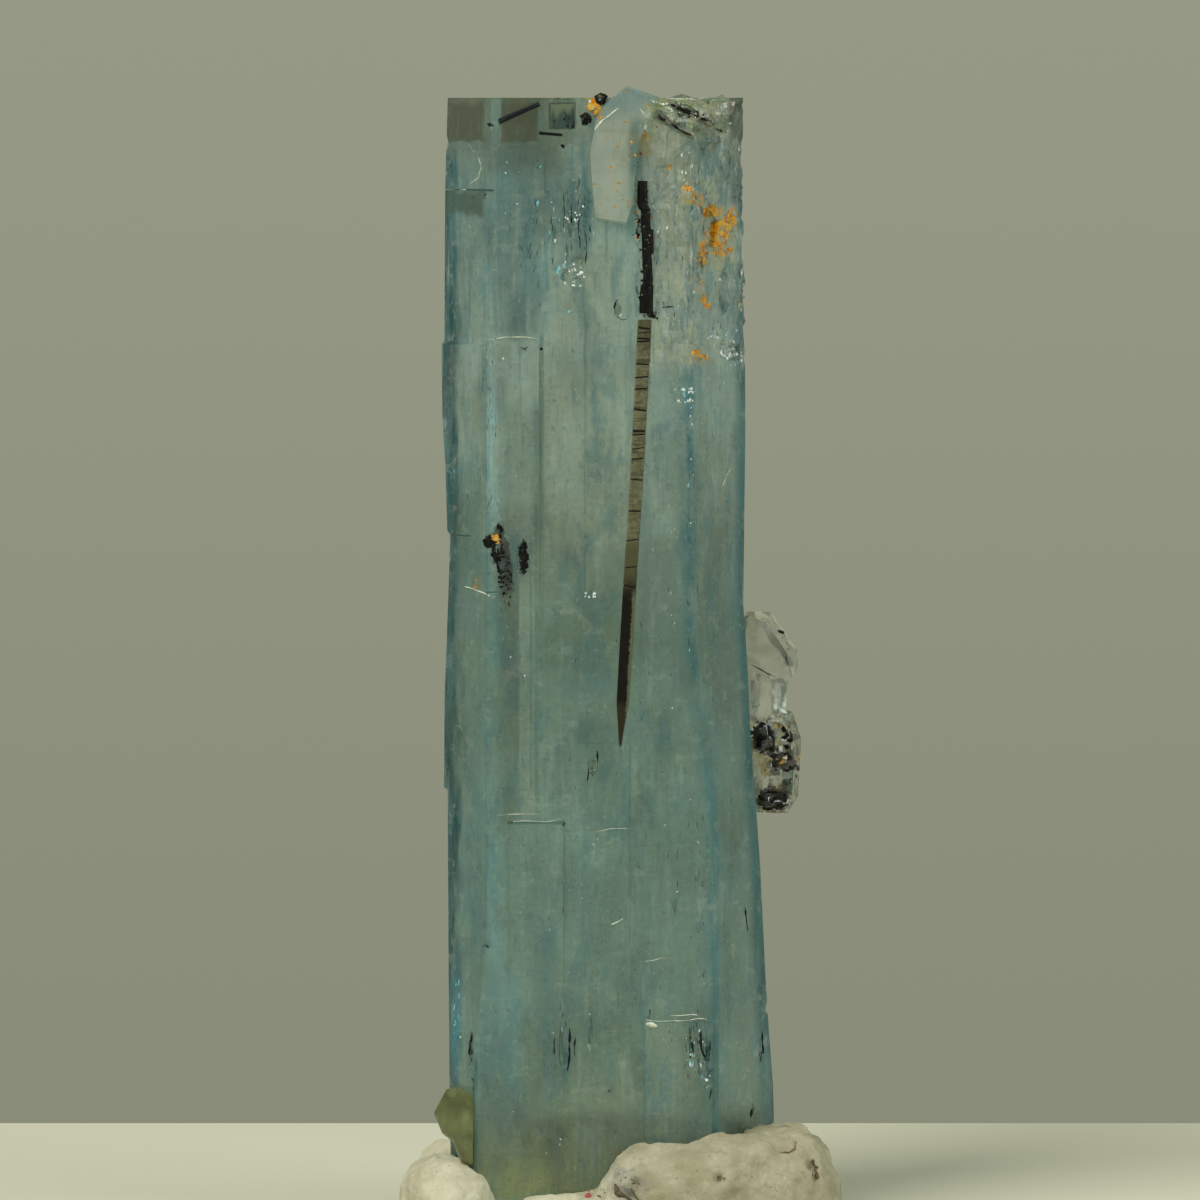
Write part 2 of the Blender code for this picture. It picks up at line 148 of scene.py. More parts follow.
class Nodes:
    # builds one material's node tree with short calls, places in mm
    names = {
        "colour": "Base Color", "roughness": "Roughness", "transmission": "Transmission Weight",
        "ior": "IOR", "normal": "Normal", "specular": "Specular IOR Level",
    }

    def __init__(self, name):
        self.material = bpy.data.materials.new(name)
        self.material.use_nodes = True
        self.tree = self.material.node_tree
        self.shader = self.tree.nodes["Principled BSDF"]
        self.output = self.tree.nodes["Material Output"]
        self.mmPlace = self.shade(self.add("TexCoord").outputs["Object"], 1000)
        split = self.add("SeparateXYZ")
        self.join(self.mmPlace, split.inputs[0])
        self.across, self.deep, self.up = split.outputs

    def add(self, kind):
        return self.tree.nodes.new("ShaderNode" + kind)

    def join(self, source, target):
        self.tree.links.new(source, target)

    def feed(self, socket, value):
        if isinstance(value, bpy.types.NodeSocket):
            self.join(value, socket)
        else:
            socket.default_value = value

    def calc(self, operation, first, second=0.5):
        node = self.add("Math")
        node.operation = operation
        self.feed(node.inputs[0], first)
        self.feed(node.inputs[1], second)
        return node.outputs[0]

    def plus(self, first, second):
        return self.calc("ADD", first, second)

    def minus(self, first, second):
        return self.calc("SUBTRACT", first, second)

    def times(self, first, *others):
        for other in others:
            first = self.calc("MULTIPLY", first, other)
        return first

    def shade(self, colour, factor):
        node = self.add("VectorMath")
        node.operation = "SCALE"
        self.feed(node.inputs[0], colour)
        self.feed(node.inputs["Scale"], factor)
        return node.outputs[0]

    def ramp(self, value, low, high, outLow=0, outHigh=1, smooth=True):
        node = self.add("MapRange")
        node.interpolation_type = "SMOOTHSTEP" if smooth else "LINEAR"
        # a smooth step keeps within its limits by itself
        node.clamp = not smooth
        limits = {"Value": value, "From Min": low, "From Max": high, "To Min": outLow, "To Max": outHigh}
        for name, limit in limits.items():
            self.feed(node.inputs[name], limit)
        return node.outputs["Result"]

    def noise(self, scale, detail=4, stretch=(1, 1, 1), shift=(0, 0, 0), roughness=0.55):
        mapping = self.add("Mapping")
        mapping.inputs["Scale"].default_value = stretch
        mapping.inputs["Location"].default_value = shift
        self.join(self.mmPlace, mapping.inputs["Vector"])
        node = self.add("TexNoise")
        for name, value in {"Scale": scale, "Detail": detail, "Roughness": roughness}.items():
            node.inputs[name].default_value = value
        self.join(mapping.outputs[0], node.inputs["Vector"])
        return node.outputs["Fac"]

    def mix(self, share, first, second):
        node = self.add("Mix")
        node.data_type = "RGBA"
        self.feed(node.inputs["Factor"], share)
        # a colour Mix node lists its float and vector sockets first
        self.feed(node.inputs[6], first)
        self.feed(node.inputs[7], second)
        return node.outputs[2]

    def inside(self, limits, soft, wobble=0):
        # 1 past every limit in mm towards its side, 0 before it
        made = 1.0
        for value, limit, side in limits:
            edge = self.ramp(self.plus(value, wobble), limit - soft * side, limit + soft * side)
            made = self.times(edge, made)
        return made

    def bump(self, height, distance, strength=1, under=None):
        node = self.add("Bump")
        node.inputs["Distance"].default_value = distance * mm
        node.inputs["Strength"].default_value = strength
        self.join(height, node.inputs["Height"])
        if under is not None:
            self.join(under, node.inputs["Normal"])
        return node.outputs["Normal"]

    def absorb(self, colour, density):
        node = self.add("VolumeAbsorption")
        node.inputs["Color"].default_value = colour
        node.inputs["Density"].default_value = density
        self.join(node.outputs[0], self.output.inputs["Volume"])

    def set(self, **values):
        for name, value in values.items():
            self.feed(self.shader.inputs[self.names[name]], value)


# small helpers for details that sit on a surface

thread = {
    "step": 0.15, "taper": 0.5, "tapered": 0.25, "waver": 0.09 * mm, "waverSize": 1200,
    "thinnest": 0.25, "swell": 1.4, "swellSize": 3500,
}


def surfaceSpot(target, across, up):
    # where a level line of sight from the front, at a place in mm, meets the piece
    hit, place, normal, face = target.ray_cast((across * mm, -40 * mm, up * mm), (0, 1, 0))
    return (place, normal) if hit else (None, None)


def makeGrain(name, jitter):
    deselectAll()
    bpy.ops.mesh.primitive_ico_sphere_add(subdivisions=1, radius=1 * mm)
    grain = bpy.context.object
    grain.name = grain.data.name = name
    editMode(grain, "SELECT")
    bpy.ops.transform.vertex_random(offset=jitter * mm, seed=3)
    objectMode()
    return grain


def addCopy(gathered, base, place, normal, size, turn):
    # size is half width, half height and half thickness in mm; turn is about the surface's normal
    copy = base.data.copy()
    upright = Vector((0, 0, 1)) if abs(normal.z) < 0.9 else Vector((0, 1, 0))
    side = upright.cross(normal).normalized()
    frameOfSpot = Matrix((side, normal.cross(side), normal)).transposed().to_4x4()
    spin = Matrix.Rotation(turn, 4, "Z")
    copy.transform(Matrix.Translation(place) @ frameOfSpot @ spin @ Matrix.Diagonal((*size, 1)))
    gathered.from_mesh(copy)
    bpy.data.meshes.remove(copy)


def scatterPiece(target, patches, name, look, slotName, seed, deepest=0, jitter=0.25, thickness=0.45):
    # every patch: middle across and up, half width, half height, how many,
    # smallest and largest grain in thousandths of a mm, perhaps their stretch upwards
    grain = makeGrain(name, jitter)
    pick = random.Random(seed)
    gathered = bmesh.new()
    for across, up, halfWidth, halfHeight, count, smallest, largest, *stretch in patches:
        smallest, largest = smallest / 1000, largest / 1000
        stretch = stretch[0] if stretch else 1.0
        for _ in range(count):
            angle = pick.uniform(0, 2 * math.pi)
            reach = pick.random() ** 0.5
            x = across + halfWidth * reach * math.cos(angle)
            z = up + halfHeight * reach * math.sin(angle)
            place, normal = surfaceSpot(target, x, z)
            if place is None:
                continue
            size = smallest + (largest - smallest) * pick.random() ** 2
            turn = pick.uniform(-0.25, 0.25) if stretch > 1.5 else pick.uniform(0, math.pi)
            shape = (size, size * stretch, min(size * thickness, 0.09))
            depth = deepest * pick.random() ** 2
            addCopy(gathered, grain, place - normal * depth * mm, normal, shape, turn)
    gathered.to_mesh(grain.data)
    gathered.free()
    finishPiece(grain, look, slotName)


def threadAlong(target, points, radius, lift=0, sway=1):
    # a thin thread laid on the target through points across and up in mm, its radius in thousandths
    data = bpy.data.curves.new("thread", "CURVE")
    data.dimensions = "3D"
    data.bevel_depth = radius / 1000 * mm
    data.bevel_resolution = 1
    spline = data.splines.new("POLY")
    placed = []
    for first, second in zip(points, points[1:]):
        steps = max(2, int(math.dist(first, second) / thread["step"]))
        for step in range(steps):
            share = step / steps
            x = first[0] + (second[0] - first[0]) * share
            z = first[1] + (second[1] - first[1]) * share
            place, normal = surfaceSpot(target, x, z)
            if place is not None:
                waver = thread["waver"] * noise.noise_vector(place * thread["waverSize"]) * sway
                placed.append(place + normal * lift * mm + Vector((waver.x, 0, waver.z)))
    spline.points.add(len(placed) - 1)
    for i, place in enumerate(placed):
        spline.points[i].co = (*place, 1)
        end = min(i, len(placed) - 1 - i) / max(1, len(placed) * thread["tapered"])
        swell = max(thread["thinnest"], 1 + thread["swell"] * noise.noise(place * thread["swellSize"]))
        spline.points[i].radius = min(1, thread["taper"] + (1 - thread["taper"]) * end) * swell
    laid = bpy.data.objects.new("thread", data)
    bpy.context.scene.collection.objects.link(laid)
    pickOnly(laid)
    bpy.ops.object.convert(target="MESH")
    return bpy.context.object


def threadPiece(threads, name, look, slotName):
    # every thread: the piece it lies on, its points and radius, then perhaps its lift and sway
    joined = joinPieces([threadAlong(*parts) for parts in threads], name)
    applyPlace(joined)
    finishPiece(joined, look, slotName)


def threadsOn(target, lines):
    return [(target, points, radius) for points, radius in lines]


# the clouded blue-green crystal

aqua = {
    "ior": 1.577,
    "transmission": 0.86,
    "gain": (0.362, 0.392, 0.328),
    "absorbColour": (0.5, 0.76, 0.74, 1),
    "absorbDensity": 42,
    # tones from the foot to the top: height in mm and the tone seen against the pale backdrop; the olive tones
    # at the foot are painted light of the cream putty seen through the crystal
    "growth": [
        (2, (136, 146, 94)), (4.2, (116, 130, 97)), (5.6, (99, 118, 96)), (8, (90, 113, 97)),
        (13, (97, 121, 106)), (20, (97, 122, 107)), (25, (94, 117, 101)), (30, (89, 111, 94)),
        (34, (99, 115, 99)), (38.5, (117, 134, 118)), (43, (126, 144, 129)), (48.5, (124, 144, 130)),
        (52, (106, 128, 116)), (54.5, (104, 120, 106)), (57, (112, 122, 102)),
    ],
    # soft-edged zones: left, right, low, high, softness, wander of the edge, tone, share
    "zones": [
        (-6.75, -4.2, 45, 54.3, 0.35, 0.5, (86, 111, 103), 0.85),
        (-4.3, -2, 49.6, 54, 0.5, 0.6, (96, 117, 106), 0.7),
        (-8.95, -6.7, 44.6, 54.3, 0.3, 0.4, (98, 120, 106), 0.5),
        (-3.6, -0.2, 44.6, 49.6, 0.5, 0.6, (134, 149, 130), 0.75),
        (1.3, 3.5, 43.5, 55.2, 0.3, 0.5, (140, 148, 122), 0.8),
        (3.2, 6.2, 49, 55, 0.4, 0.7, (100, 122, 112), 0.8),
        (3.6, 6.2, 44, 49, 0.5, 0.8, (118, 136, 124), 0.7),
        (4.2, 5.9, 48.4, 51.4, 0.4, 0.5, (160, 146, 92), 0.75),
        (1.2, 5.5, 54.9, 57, 0.25, 0.4, (142, 150, 122), 0.8),
        (1.8, 3.6, 40, 43.5, 0.5, 0.8, (110, 138, 132), 0.6),
        (-8.9, -7.2, 31.5, 36.5, 0.5, 0.8, (66, 94, 84), 0.7),
        (-2.3, -0.6, 49, 50.4, 0.6, 0.8, (118, 138, 124), 0.5),
        (-9.3, -7.1, 30, 38.5, 0.5, 0.6, (78, 102, 88), 0.75),
        (-6.2, -5.25, 27.5, 33.6, 0.3, 0.3, (82, 92, 75), 0.55),
        (-5.95, -5.3, 20.5, 28, 0.2, 0.2, (94, 111, 93), 0.6),
        (-5.2, -4.45, 21, 34, 0.06, 0.1, (110, 130, 112), 0.9),
        (-4.5, -3.9, 31.5, 41.5, 0.25, 0.15, (98, 116, 96), 0.7),
        (-4.3, -3.3, 6.5, 15, 0.3, 0.4, (84, 111, 101), 0.7),
        (-2, 0.2, 25, 31, 0.6, 0.6, (88, 106, 88), 0.5),
        (0.9, 3.2, 24, 34, 0.6, 0.6, (92, 112, 100), 0.5),
        (-6.8, -4, 5, 10.5, 0.5, 0.5, (90, 110, 93), 0.5),
        (-2.3, 0.9, 2, 7, 0.5, 0.4, (106, 122, 101), 0.6),
        (1.1, 3.6, 3, 10.3, 0.1, 0.15, (106, 123, 105), 0.55),
        (4.9, 6.8, 24, 31.8, 0.5, 0.7, (76, 92, 86), 0.6),
        (-3.9, 0.4, 34.5, 43, 0.6, 0.5, (130, 144, 122), 0.6),
        (1.4, 3.1, 35, 43, 0.4, 0.4, (122, 144, 130), 0.5),
        (-3.1, -1.8, 48.6, 51.6, 0.3, 0.4, (86, 108, 100), 0.5),
        (5.5, 7.2, 13, 23, 0.4, 0.6, (80, 102, 96), 0.45),
    ],
    # painted dark reflections in clearer windows and painted shadows of cracks and the tuft, with a firm edge,
    # in the same order
    "darkReflectionsAndShadows": [
        (-6.2, -5.6, 32, 34.7, 0.25, 0.3, (44, 50, 40), 0.75),
        (-5.12, -4.88, 33.1, 34.7, 0.1, 0.1, (30, 34, 28), 0.7),
        (-6.7, -3, 53.2, 54.9, 0.45, 0.5, (76, 88, 72), 0.75),
        (-9.2, -6.9, 53.9, 54.8, 0.3, 0.5, (80, 98, 84), 0.6),
        (-9.2, -6.85, 54.62, 56.85, 0.09, 0.16, (58, 60, 44), 1),
        (-9.2, -6.9, 56.55, 57.2, 0.12, 0.3, (92, 100, 82), 0.6),
        (-6.2, -4.2, 54.6, 56.85, 0.1, 0.18, (66, 68, 50), 1),
        (-6.5, -4.3, 56.5, 57.2, 0.12, 0.3, (94, 104, 86), 0.5),
        (-4.3, -2.55, 54.5, 56.9, 0.14, 0.2, (84, 98, 80), 0.75),
        (-7, -6.1, 54.9, 57.2, 0.12, 0.15, (92, 110, 96), 0.8),
        (-7, -6.2, 54.4, 55.2, 0.08, 0.1, (72, 84, 74), 0.7),
        (5.3, 6.3, 51.4, 54.8, 0.2, 0.3, (72, 86, 76), 0.7),
        (5.35, 6.4, 54.6, 57.3, 0.12, 0.2, (50, 54, 42), 0.9),
        (-9.1, -7.05, 50.95, 52.12, 0.2, 0.3, (44, 60, 50), 0.85),
        (-8.4, -7.35, 29.6, 31.9, 0.1, 0.15, (84, 102, 98), 0.6),
        (-7, -5.6, 43.7, 44.5, 0.12, 0.1, (112, 122, 102), 0.6),
        (0.75, 1.45, 53.9, 54.95, 0.12, 0.3, (126, 112, 66), 0.8),
    ],
    "rust": [
        (4, 5.8, 48.4, 51.5, 0.2, 0.5, (206, 138, 50), 1), (2.9, 4, 51.6, 52.5, 0.2, 0.5, (206, 138, 50), 1),
        (3.7, 4.4, 46.1, 47, 0.2, 0.5, (206, 138, 50), 1), (3.3, 4.3, 43.6, 44.2, 0.2, 0.5, (206, 138, 50), 1),
        (-1.8, -1.1, 56, 57, 0.2, 0.5, (206, 138, 50), 1),
    ],
    # upright growth lines, and lines of painted shade along the front-left and lower-left edges: place across,
    # half width, low, high, tone, share
    "growthLines": [
        (-6.85, 0.16, 15.5, 43.9, (52, 98, 104), 0.5), (-7.45, 0.16, 2.5, 8.6, (10, 66, 78), 0.95),
        (-8.45, 0.4, 7.4, 12.6, (36, 104, 118), 0.9), (-4.8, 0.2, 13, 20, (82, 112, 102), 0.6),
        (-3.85, 0.2, 6.5, 14.5, (72, 108, 104), 0.6), (1.05, 0.14, 4.2, 10.4, (78, 110, 106), 0.7),
        (-2.93, 0.2, 7.6, 10.6, (30, 88, 92), 0.9), (-4.35, 0.12, 21, 37, (72, 98, 88), 0.8),
        (-5.15, 0.07, 21.5, 33, (132, 148, 130), 0.6),
    ],
    # lines of painted shade beside the front's right edge, which leans, listed as above: place past that edge
    "edgeLines": [
        (-0.15, 0.75, 3, 44, (66, 106, 104), 0.6), (-0.08, 0.34, 3, 44, (44, 94, 98), 0.65),
        (0.6, 0.12, 4, 26, (76, 106, 102), 0.4),
    ],
    # noise spots: scale, detail, stretch, shift, roughness, from, full, tone, share
    "streaks": [
        (1, 4, (1.6, 1.2, 0.14), (0, 0, 0), 0.6, 0.52, 0.66, (56, 104, 108), 1),
        (1, 4, (3.4, 2.4, 0.3), (4, 1, 8), 0.6, 0.56, 0.68, (52, 98, 104), 1),
        (1, 4, (1.8, 1.2, 0.2), (9, 2, 5), 0.6, 0.54, 0.7, (142, 158, 142), 1),
    ],
    "mottling": [
        (0.7, 4, (1, 0.8, 0.5), (1, 7, 3), 0.7, 0.52, 0.62, (58, 100, 102), 0.5),
        (1.1, 4, (0.8, 0.8, 1.1), (3, 3, 9), 0.7, 0.55, 0.68, (142, 156, 138), 0.4),
        (3, 4, (1, 1, 0.7), (6, 1, 4), 0.6, 0.6, 0.68, (60, 90, 88), 0.5),
        (7, 3, (1, 1, 0.6), (8, 8, 1), 0.55, 0.66, 0.72, (176, 188, 172), 0.6),
    ],
    "plateDots": [(3, 3, (0.7, 1, 1.4), (4, 9, 4), 0.55, 0.64, 0.69, (168, 120, 52), 1)],
    "yellow": [(1.8, 4, (1, 1, 1), (2, 2, 6), 0.7, 0.5, 0.6, (190, 178, 104), 0.7)],
    "haze": [(0.8, 4, (1.2, 1, 0.7), (7, 5, 3), 0.65, 0.5, 0.6, (158, 160, 128), 0.55)],
    "ochre": [(2.6, 4, (1.2, 1, 0.5), (3, 3, 1), 0.55, 0.6, 0.68, (196, 168, 92), 0.8)],
    "pits": [(2.6, 4, (1.6, 1, 0.3), (4, 2, 9), 0.55, 0.56, 0.7, (58, 96, 98), 0.65)],
}


def makeAquamarineMaterial():
    n = Nodes("cloudedAquamarine")

    def seen(values):
        shown = tone(*values)
        return (*(min(1, value / gain) for value, gain in zip(shown[:3], aqua["gain"])), 1)

    def paint(colour, mask, values):
        return n.mix(mask, colour, seen(values))

    def away(value, low, high):
        # how far outside the span from low to high, in mm
        return n.minus(n.calc("ABSOLUTE", n.minus(value, (low + high) / 2)), (high - low) / 2)

    def patch(left, right, bottom, top, soft, wobble, share=1):
        # full inside an upright box given in mm, its border wandering in and out
        outside = n.calc("MAXIMUM", away(n.across, left, right), away(n.up, bottom, top))
        outside = n.plus(outside, n.times(wander, wobble * 3))
        return n.ramp(outside, soft, -soft, 0, share)

    def paintPatches(colour, rows, within=None):
        for *box, values, share in rows:
            mask = patch(*box, share)
            colour = paint(colour, mask if within is None else n.times(mask, within), values)
        return colour

    def paintLines(colour, value, rows):
        for place, width, bottom, top, values, share in rows:
            near = n.ramp(n.calc("ABSOLUTE", n.minus(value, place)), width, width * 0.3)
            line = n.times(near, n.ramp(away(n.up, bottom, top), 0.6, -0.6, 0, share), broken)
            colour = paint(colour, line, values)
        return colour

    def paintSpots(colour, rows, within=None):
        for scale, detail, stretch, shift, roughness, low, high, values, share in rows:
            spots = n.ramp(n.noise(scale, detail, stretch, shift, roughness), low, high, 0, share)
            colour = paint(colour, spots if within is None else n.times(spots, within), values)
        return colour

    # growth tones, blended upwards, their borders wandering a little; at the foot the olive tones are painted
    # light of the putty seen through the crystal
    wander = n.minus(n.noise(0.9, 4, (1, 1, 0.35), (7, 3, 1)), 0.5)
    wanderedUp = n.plus(n.up, n.times(wander, 5))
    colour = seen(aqua["growth"][0][1])
    for (below, _), (height, values) in zip(aqua["growth"], aqua["growth"][1:]):
        colour = paint(colour, n.ramp(wanderedUp, below, height), values)
    colour = paintPatches(colour, aqua["zones"])

    # the two long edges at the right lean outwards towards the foot
    toRightEdge = n.minus(n.ramp(n.up, 1, 31, 7.65, 6.1, smooth=False), n.across)
    pastFrontRight = n.minus(n.across, n.ramp(n.up, 19, 31, 4.7, 3.45))
    # painted shade: the lower right side face painted darker
    shadedLowRightFace = n.times(n.ramp(pastFrontRight, -0.1, 0.3), n.ramp(n.up, 36, 26, 0, 0.8))
    colour = paint(colour, shadedLowRightFace, (90, 109, 95))
    mottled = n.ramp(n.noise(1.3, 4, (1.2, 1.2, 0.35), (2, 8, 4)), 0.4, 0.6)
    # painted shade: a deep blue-green along the right rim, standing in for light that runs long inside the
    # crystal
    rightRimShade = n.times(n.ramp(toRightEdge, 0.65, 0.1), n.ramp(n.up, 56, 53, 0, 0.95))
    colour = paint(colour, rightRimShade, (30, 76, 78))
    # painted shade: the same along the left rim, broken up by mottling
    leftRimShade = n.ramp(n.plus(n.across, n.times(wander, 1.8)), -7.95, -8.6)
    leftRimShade = n.times(leftRimShade, n.ramp(n.up, 54.6, 53.8), n.ramp(mottled, 0, 1, 0.88, 1))
    colour = paint(colour, leftRimShade, (0, 46, 50))
    broken = n.ramp(mottled, 0, 1, 0.45, 1)
    # growth lines and painted shade along the left edges, then painted shade beside the right edge
    colour = paintLines(colour, n.across, aqua["growthLines"])
    colour = paintLines(colour, pastFrontRight, aqua["edgeLines"])
    colour = paintSpots(colour, aqua["streaks"], n.ramp(n.up, 36, 46, 0.3, 0.6))
    colour = paintSpots(colour, aqua["mottling"])

    # the milky plate at the tip stands proud of the front face
    clouds = n.noise(0.5, 4, (1, 0.8, 0.55), (5, 0, 2))
    striae = n.noise(1, 2, (7, 4, 0.45), (3, 1, 0))
    ripples = n.noise(1, 3, (0.7, 0.7, 6.5), (2, 4, 7), 0.62)
    grain = n.noise(5, 3, (1, 1, 0.8))
    plate = n.inside(((n.across, -1.9, 1), (n.across, 1.9, -1), (n.up, 50.3, 1), (n.deep, -4.36, -1)), 0.03)
    milk = n.mix(n.ramp(grain, 0.4, 0.65), seen((166, 172, 148)), seen((142, 150, 128)))
    milk = paint(milk, n.ramp(n.noise(0.9, 4, shift=(3, 5, 5)), 0.42, 0.62, 0, 0.7), (132, 144, 128))
    milk = paint(milk, n.ramp(n.up, 55.4, 56.5), (118, 140, 132))
    colour = n.mix(n.times(plate, n.ramp(n.across, 0.5, 0.1)), colour, milk)
    colour = n.mix(n.times(plate, n.ramp(n.up, 55.5, 56)), colour, milk)

    # rust that has soaked into the front
    atFront = n.ramp(n.deep, -2.6, -3.6)
    soaked = n.ramp(n.noise(1.5, 4, shift=(6, 6, 2), roughness=0.7), 0.46, 0.56)
    colour = paintPatches(colour, aqua["rust"], n.times(soaked, atFront))
    colour = paintSpots(colour, aqua["plateDots"], plate)
    colour = paintSpots(colour, aqua["yellow"], n.times(patch(1.1, 6, 54.7, 59, 0.3, 0), atFront))

    # rough, white-flecked etching at the upper right
    etched = patch(1.2, 6.4, 43.2, 55.8, 0.5, 0.5)
    fleck = n.ramp(n.noise(2.2, 4, (1.4, 1, 0.4), (1, 6, 2), 0.7), 0.52, 0.66)
    colour = paint(colour, n.times(etched, fleck, 0.85), (184, 184, 150))
    colour = paintSpots(colour, aqua["haze"], etched)
    colour = paintSpots(colour, aqua["ochre"], patch(2.4, 4.8, 45.5, 53.5, 0.6, 0))
    colour = paintSpots(colour, aqua["pits"], etched)
    # painted dark reflections and shadows, on the front only, textured by the flecks
    textured = n.times(n.ramp(n.deep, 2, 1), n.ramp(fleck, 0, 1, 1, 0.7))
    colour = paintPatches(colour, aqua["darkReflectionsAndShadows"], textured)

    shading = n.ramp(clouds, 0.3, 0.7, 0.8, 1.2)
    for texture, amount in ((striae, 0.04), (ripples, 0.05), (grain, 0.1)):
        shading = n.times(shading, n.ramp(texture, 0.3, 0.7, 1 - amount, 1 + amount))
    colour = n.shade(colour, shading)
    rough = n.plus(n.ramp(clouds, 0.35, 0.65, 0.24, 0.38), n.times(etched, 0.12))
    rough = n.minus(rough, patch(-9, -2.5, 54.2, 59, 0.2, 0, 0.14))
    pitting = n.times(n.noise(2, 4, (2, 2, 0.5), roughness=0.7), etched)
    relief = None
    for height, distance, strength in ((striae, 0.02, 0.5), (grain, 0.03, 0.25), (ripples, 0.04, 0.2),
                                       (pitting, 0.25, 0.9)):
        relief = n.bump(height, distance, strength, relief)
    n.set(colour=colour, transmission=aqua["transmission"], ior=aqua["ior"], roughness=rough, normal=relief)
    n.absorb(aqua["absorbColour"], aqua["absorbDensity"])
    return n.material


pockets = {
    # closed level with the front, then closed where they stand
    "level": [
        "schorl_needle_long", "schorl_needle_upper", "schorl_tuft", "schorl_patch", "schorl_needle_top_left",
        "schorl_needle_top_short", "schorl_block_top",
    ],
    "proud": ["schorl_needle_flake", "schorl_needle_flake_low", "schorl_grain_plate", "schorl_grain_top"],
    "grow": 0.17 * mm,
    "growProud": 0.05 * mm,
    "growCluster": 0.06 * mm,
    "tuftVoxel": 0.12 * mm,
}
etching = {
    "left": 1.3, "right": 7, "bottom": 43.3, "top": 56.6, "deepest": 1.2, "across": 0.24, "up": 0.32,
    "lastCut": 6.3, "margin": 0.12, "pushedTo": 0.5, "waves": 0.34 * mm, "waveSize": 0.75 * mm,
    "waveLevel": 0.62, "chatter": 0.035 * mm,
}


def fillPocket(piece, nodeName, grow, level=False):
    # the crystal closes over the schorl that lies just below its front
    filler = copyOfNode(nodeName, "filler")
    fatten(filler, grow)
    if nodeName == "schorl_tuft":
        applyModifier(filler, "REMESH", mode="VOXEL", voxel_size=pockets["tuftVoxel"], adaptivity=0)
    if level:
        cutAcross(filler, (0, frontFace, 0), (0, 1, 0), clear=True)
    applyModifier(piece, "BOOLEAN", operation="UNION", solver="EXACT", object=filler)
    bpy.data.objects.remove(filler)


def etchRegion(piece):
    # a fine net over the upper right, pushed in and out into small facets
    shape = bmesh.new()
    shape.from_mesh(piece.data)

    def inRegion(point):
        x, y, z = (value / mm for value in point)
        across = etching["left"] <= x <= etching["right"]
        return across and etching["bottom"] <= z <= etching["top"] and y < etching["deepest"]

    def cut(point, normal, everywhere=False):
        faces = [face for face in shape.faces if everywhere or inRegion(face.calc_center_median())]
        parts = faces + list({edge for face in faces for edge in face.edges})
        parts += list({vert for face in faces for vert in face.verts})
        bmesh.ops.bisect_plane(shape, geom=parts, plane_co=Vector(point) * mm, plane_no=normal, dist=1e-7)

    for height in (etching["bottom"], etching["top"]):
        cut((0, 0, height), (0, 0, 1), everywhere=True)
    cut((etching["left"], 0, 0), (1, 0, 0), everywhere=True)
    across = etching["left"] + etching["across"]
    while across < etching["lastCut"]:
        cut((across, 0, 0), (1, 0, 0))
        across += etching["across"]
    height = etching["bottom"] + etching["up"]
    while height < etching["top"]:
        cut((0, 0, height), (0, 0, 1))
        height += etching["up"]
    group = piece.vertex_groups.new(name="etched")
    shape.to_mesh(piece.data)
    shape.free()
    margin = etching["margin"]
    inner = []
    for vert in piece.data.vertices:
        x, y, z = (value / mm for value in vert.co)
        upright = etching["bottom"] + margin < z < etching["top"] - margin
        if upright and x > etching["left"] + margin and y < etching["pushedTo"]:
            inner.append(vert.index)
    group.add(inner, 1, "REPLACE")
    texture = bpy.data.textures.new("etching", "CLOUDS")
    texture.noise_scale = etching["waveSize"]
    texture.noise_depth = 3
    applyModifier(
        piece, "DISPLACE", texture=texture, strength=etching["waves"], mid_level=etching["waveLevel"],
        vertex_group="etched",
    )
    editMode(piece)
    bpy.ops.object.vertex_group_select()
    bpy.ops.transform.vertex_random(offset=etching["chatter"], uniform=0.2, normal=0.9, seed=4)
    objectMode()


crystal = copyOfNode("aquamarine", "aquamarineCrystal")
for nodeName in pockets["level"]:
    fillPocket(crystal, nodeName, pockets["grow"], level=True)
for nodeName in pockets["proud"]:
    fillPocket(crystal, nodeName, pockets["growProud"])
etchRegion(crystal)
shadeWithin(crystal, 9)
finishPiece(crystal, makeAquamarineMaterial(), "aquamarine", "aquamarine")
print("aquamarine ready")


# painted highlights along ledges, etch streaks and painted glints on the crystal

def makePaleMaterial(name, light, dark, roughness):
    n = Nodes(name)
    grain = n.noise(9, 4)
    n.set(colour=n.mix(n.ramp(grain, 0.4, 0.65), tone(*light), tone(*dark)))
    n.set(roughness=n.ramp(grain, 0.4, 0.65, *roughness), normal=n.bump(grain, 0.02, 0.6))
    return n.material


def makeChipMaterial():
    n = Nodes("etchedChip")
    grain = n.noise(4, 5)
    n.set(colour=n.mix(n.ramp(grain, 0.4, 0.6), tone(206, 214, 194), tone(172, 194, 186)), ior=aqua["ior"])
    n.set(roughness=n.ramp(grain, 0.4, 0.6, 0.2, 0.35), transmission=0.55, normal=n.bump(grain, 0.04, 0.6))
    return n.material


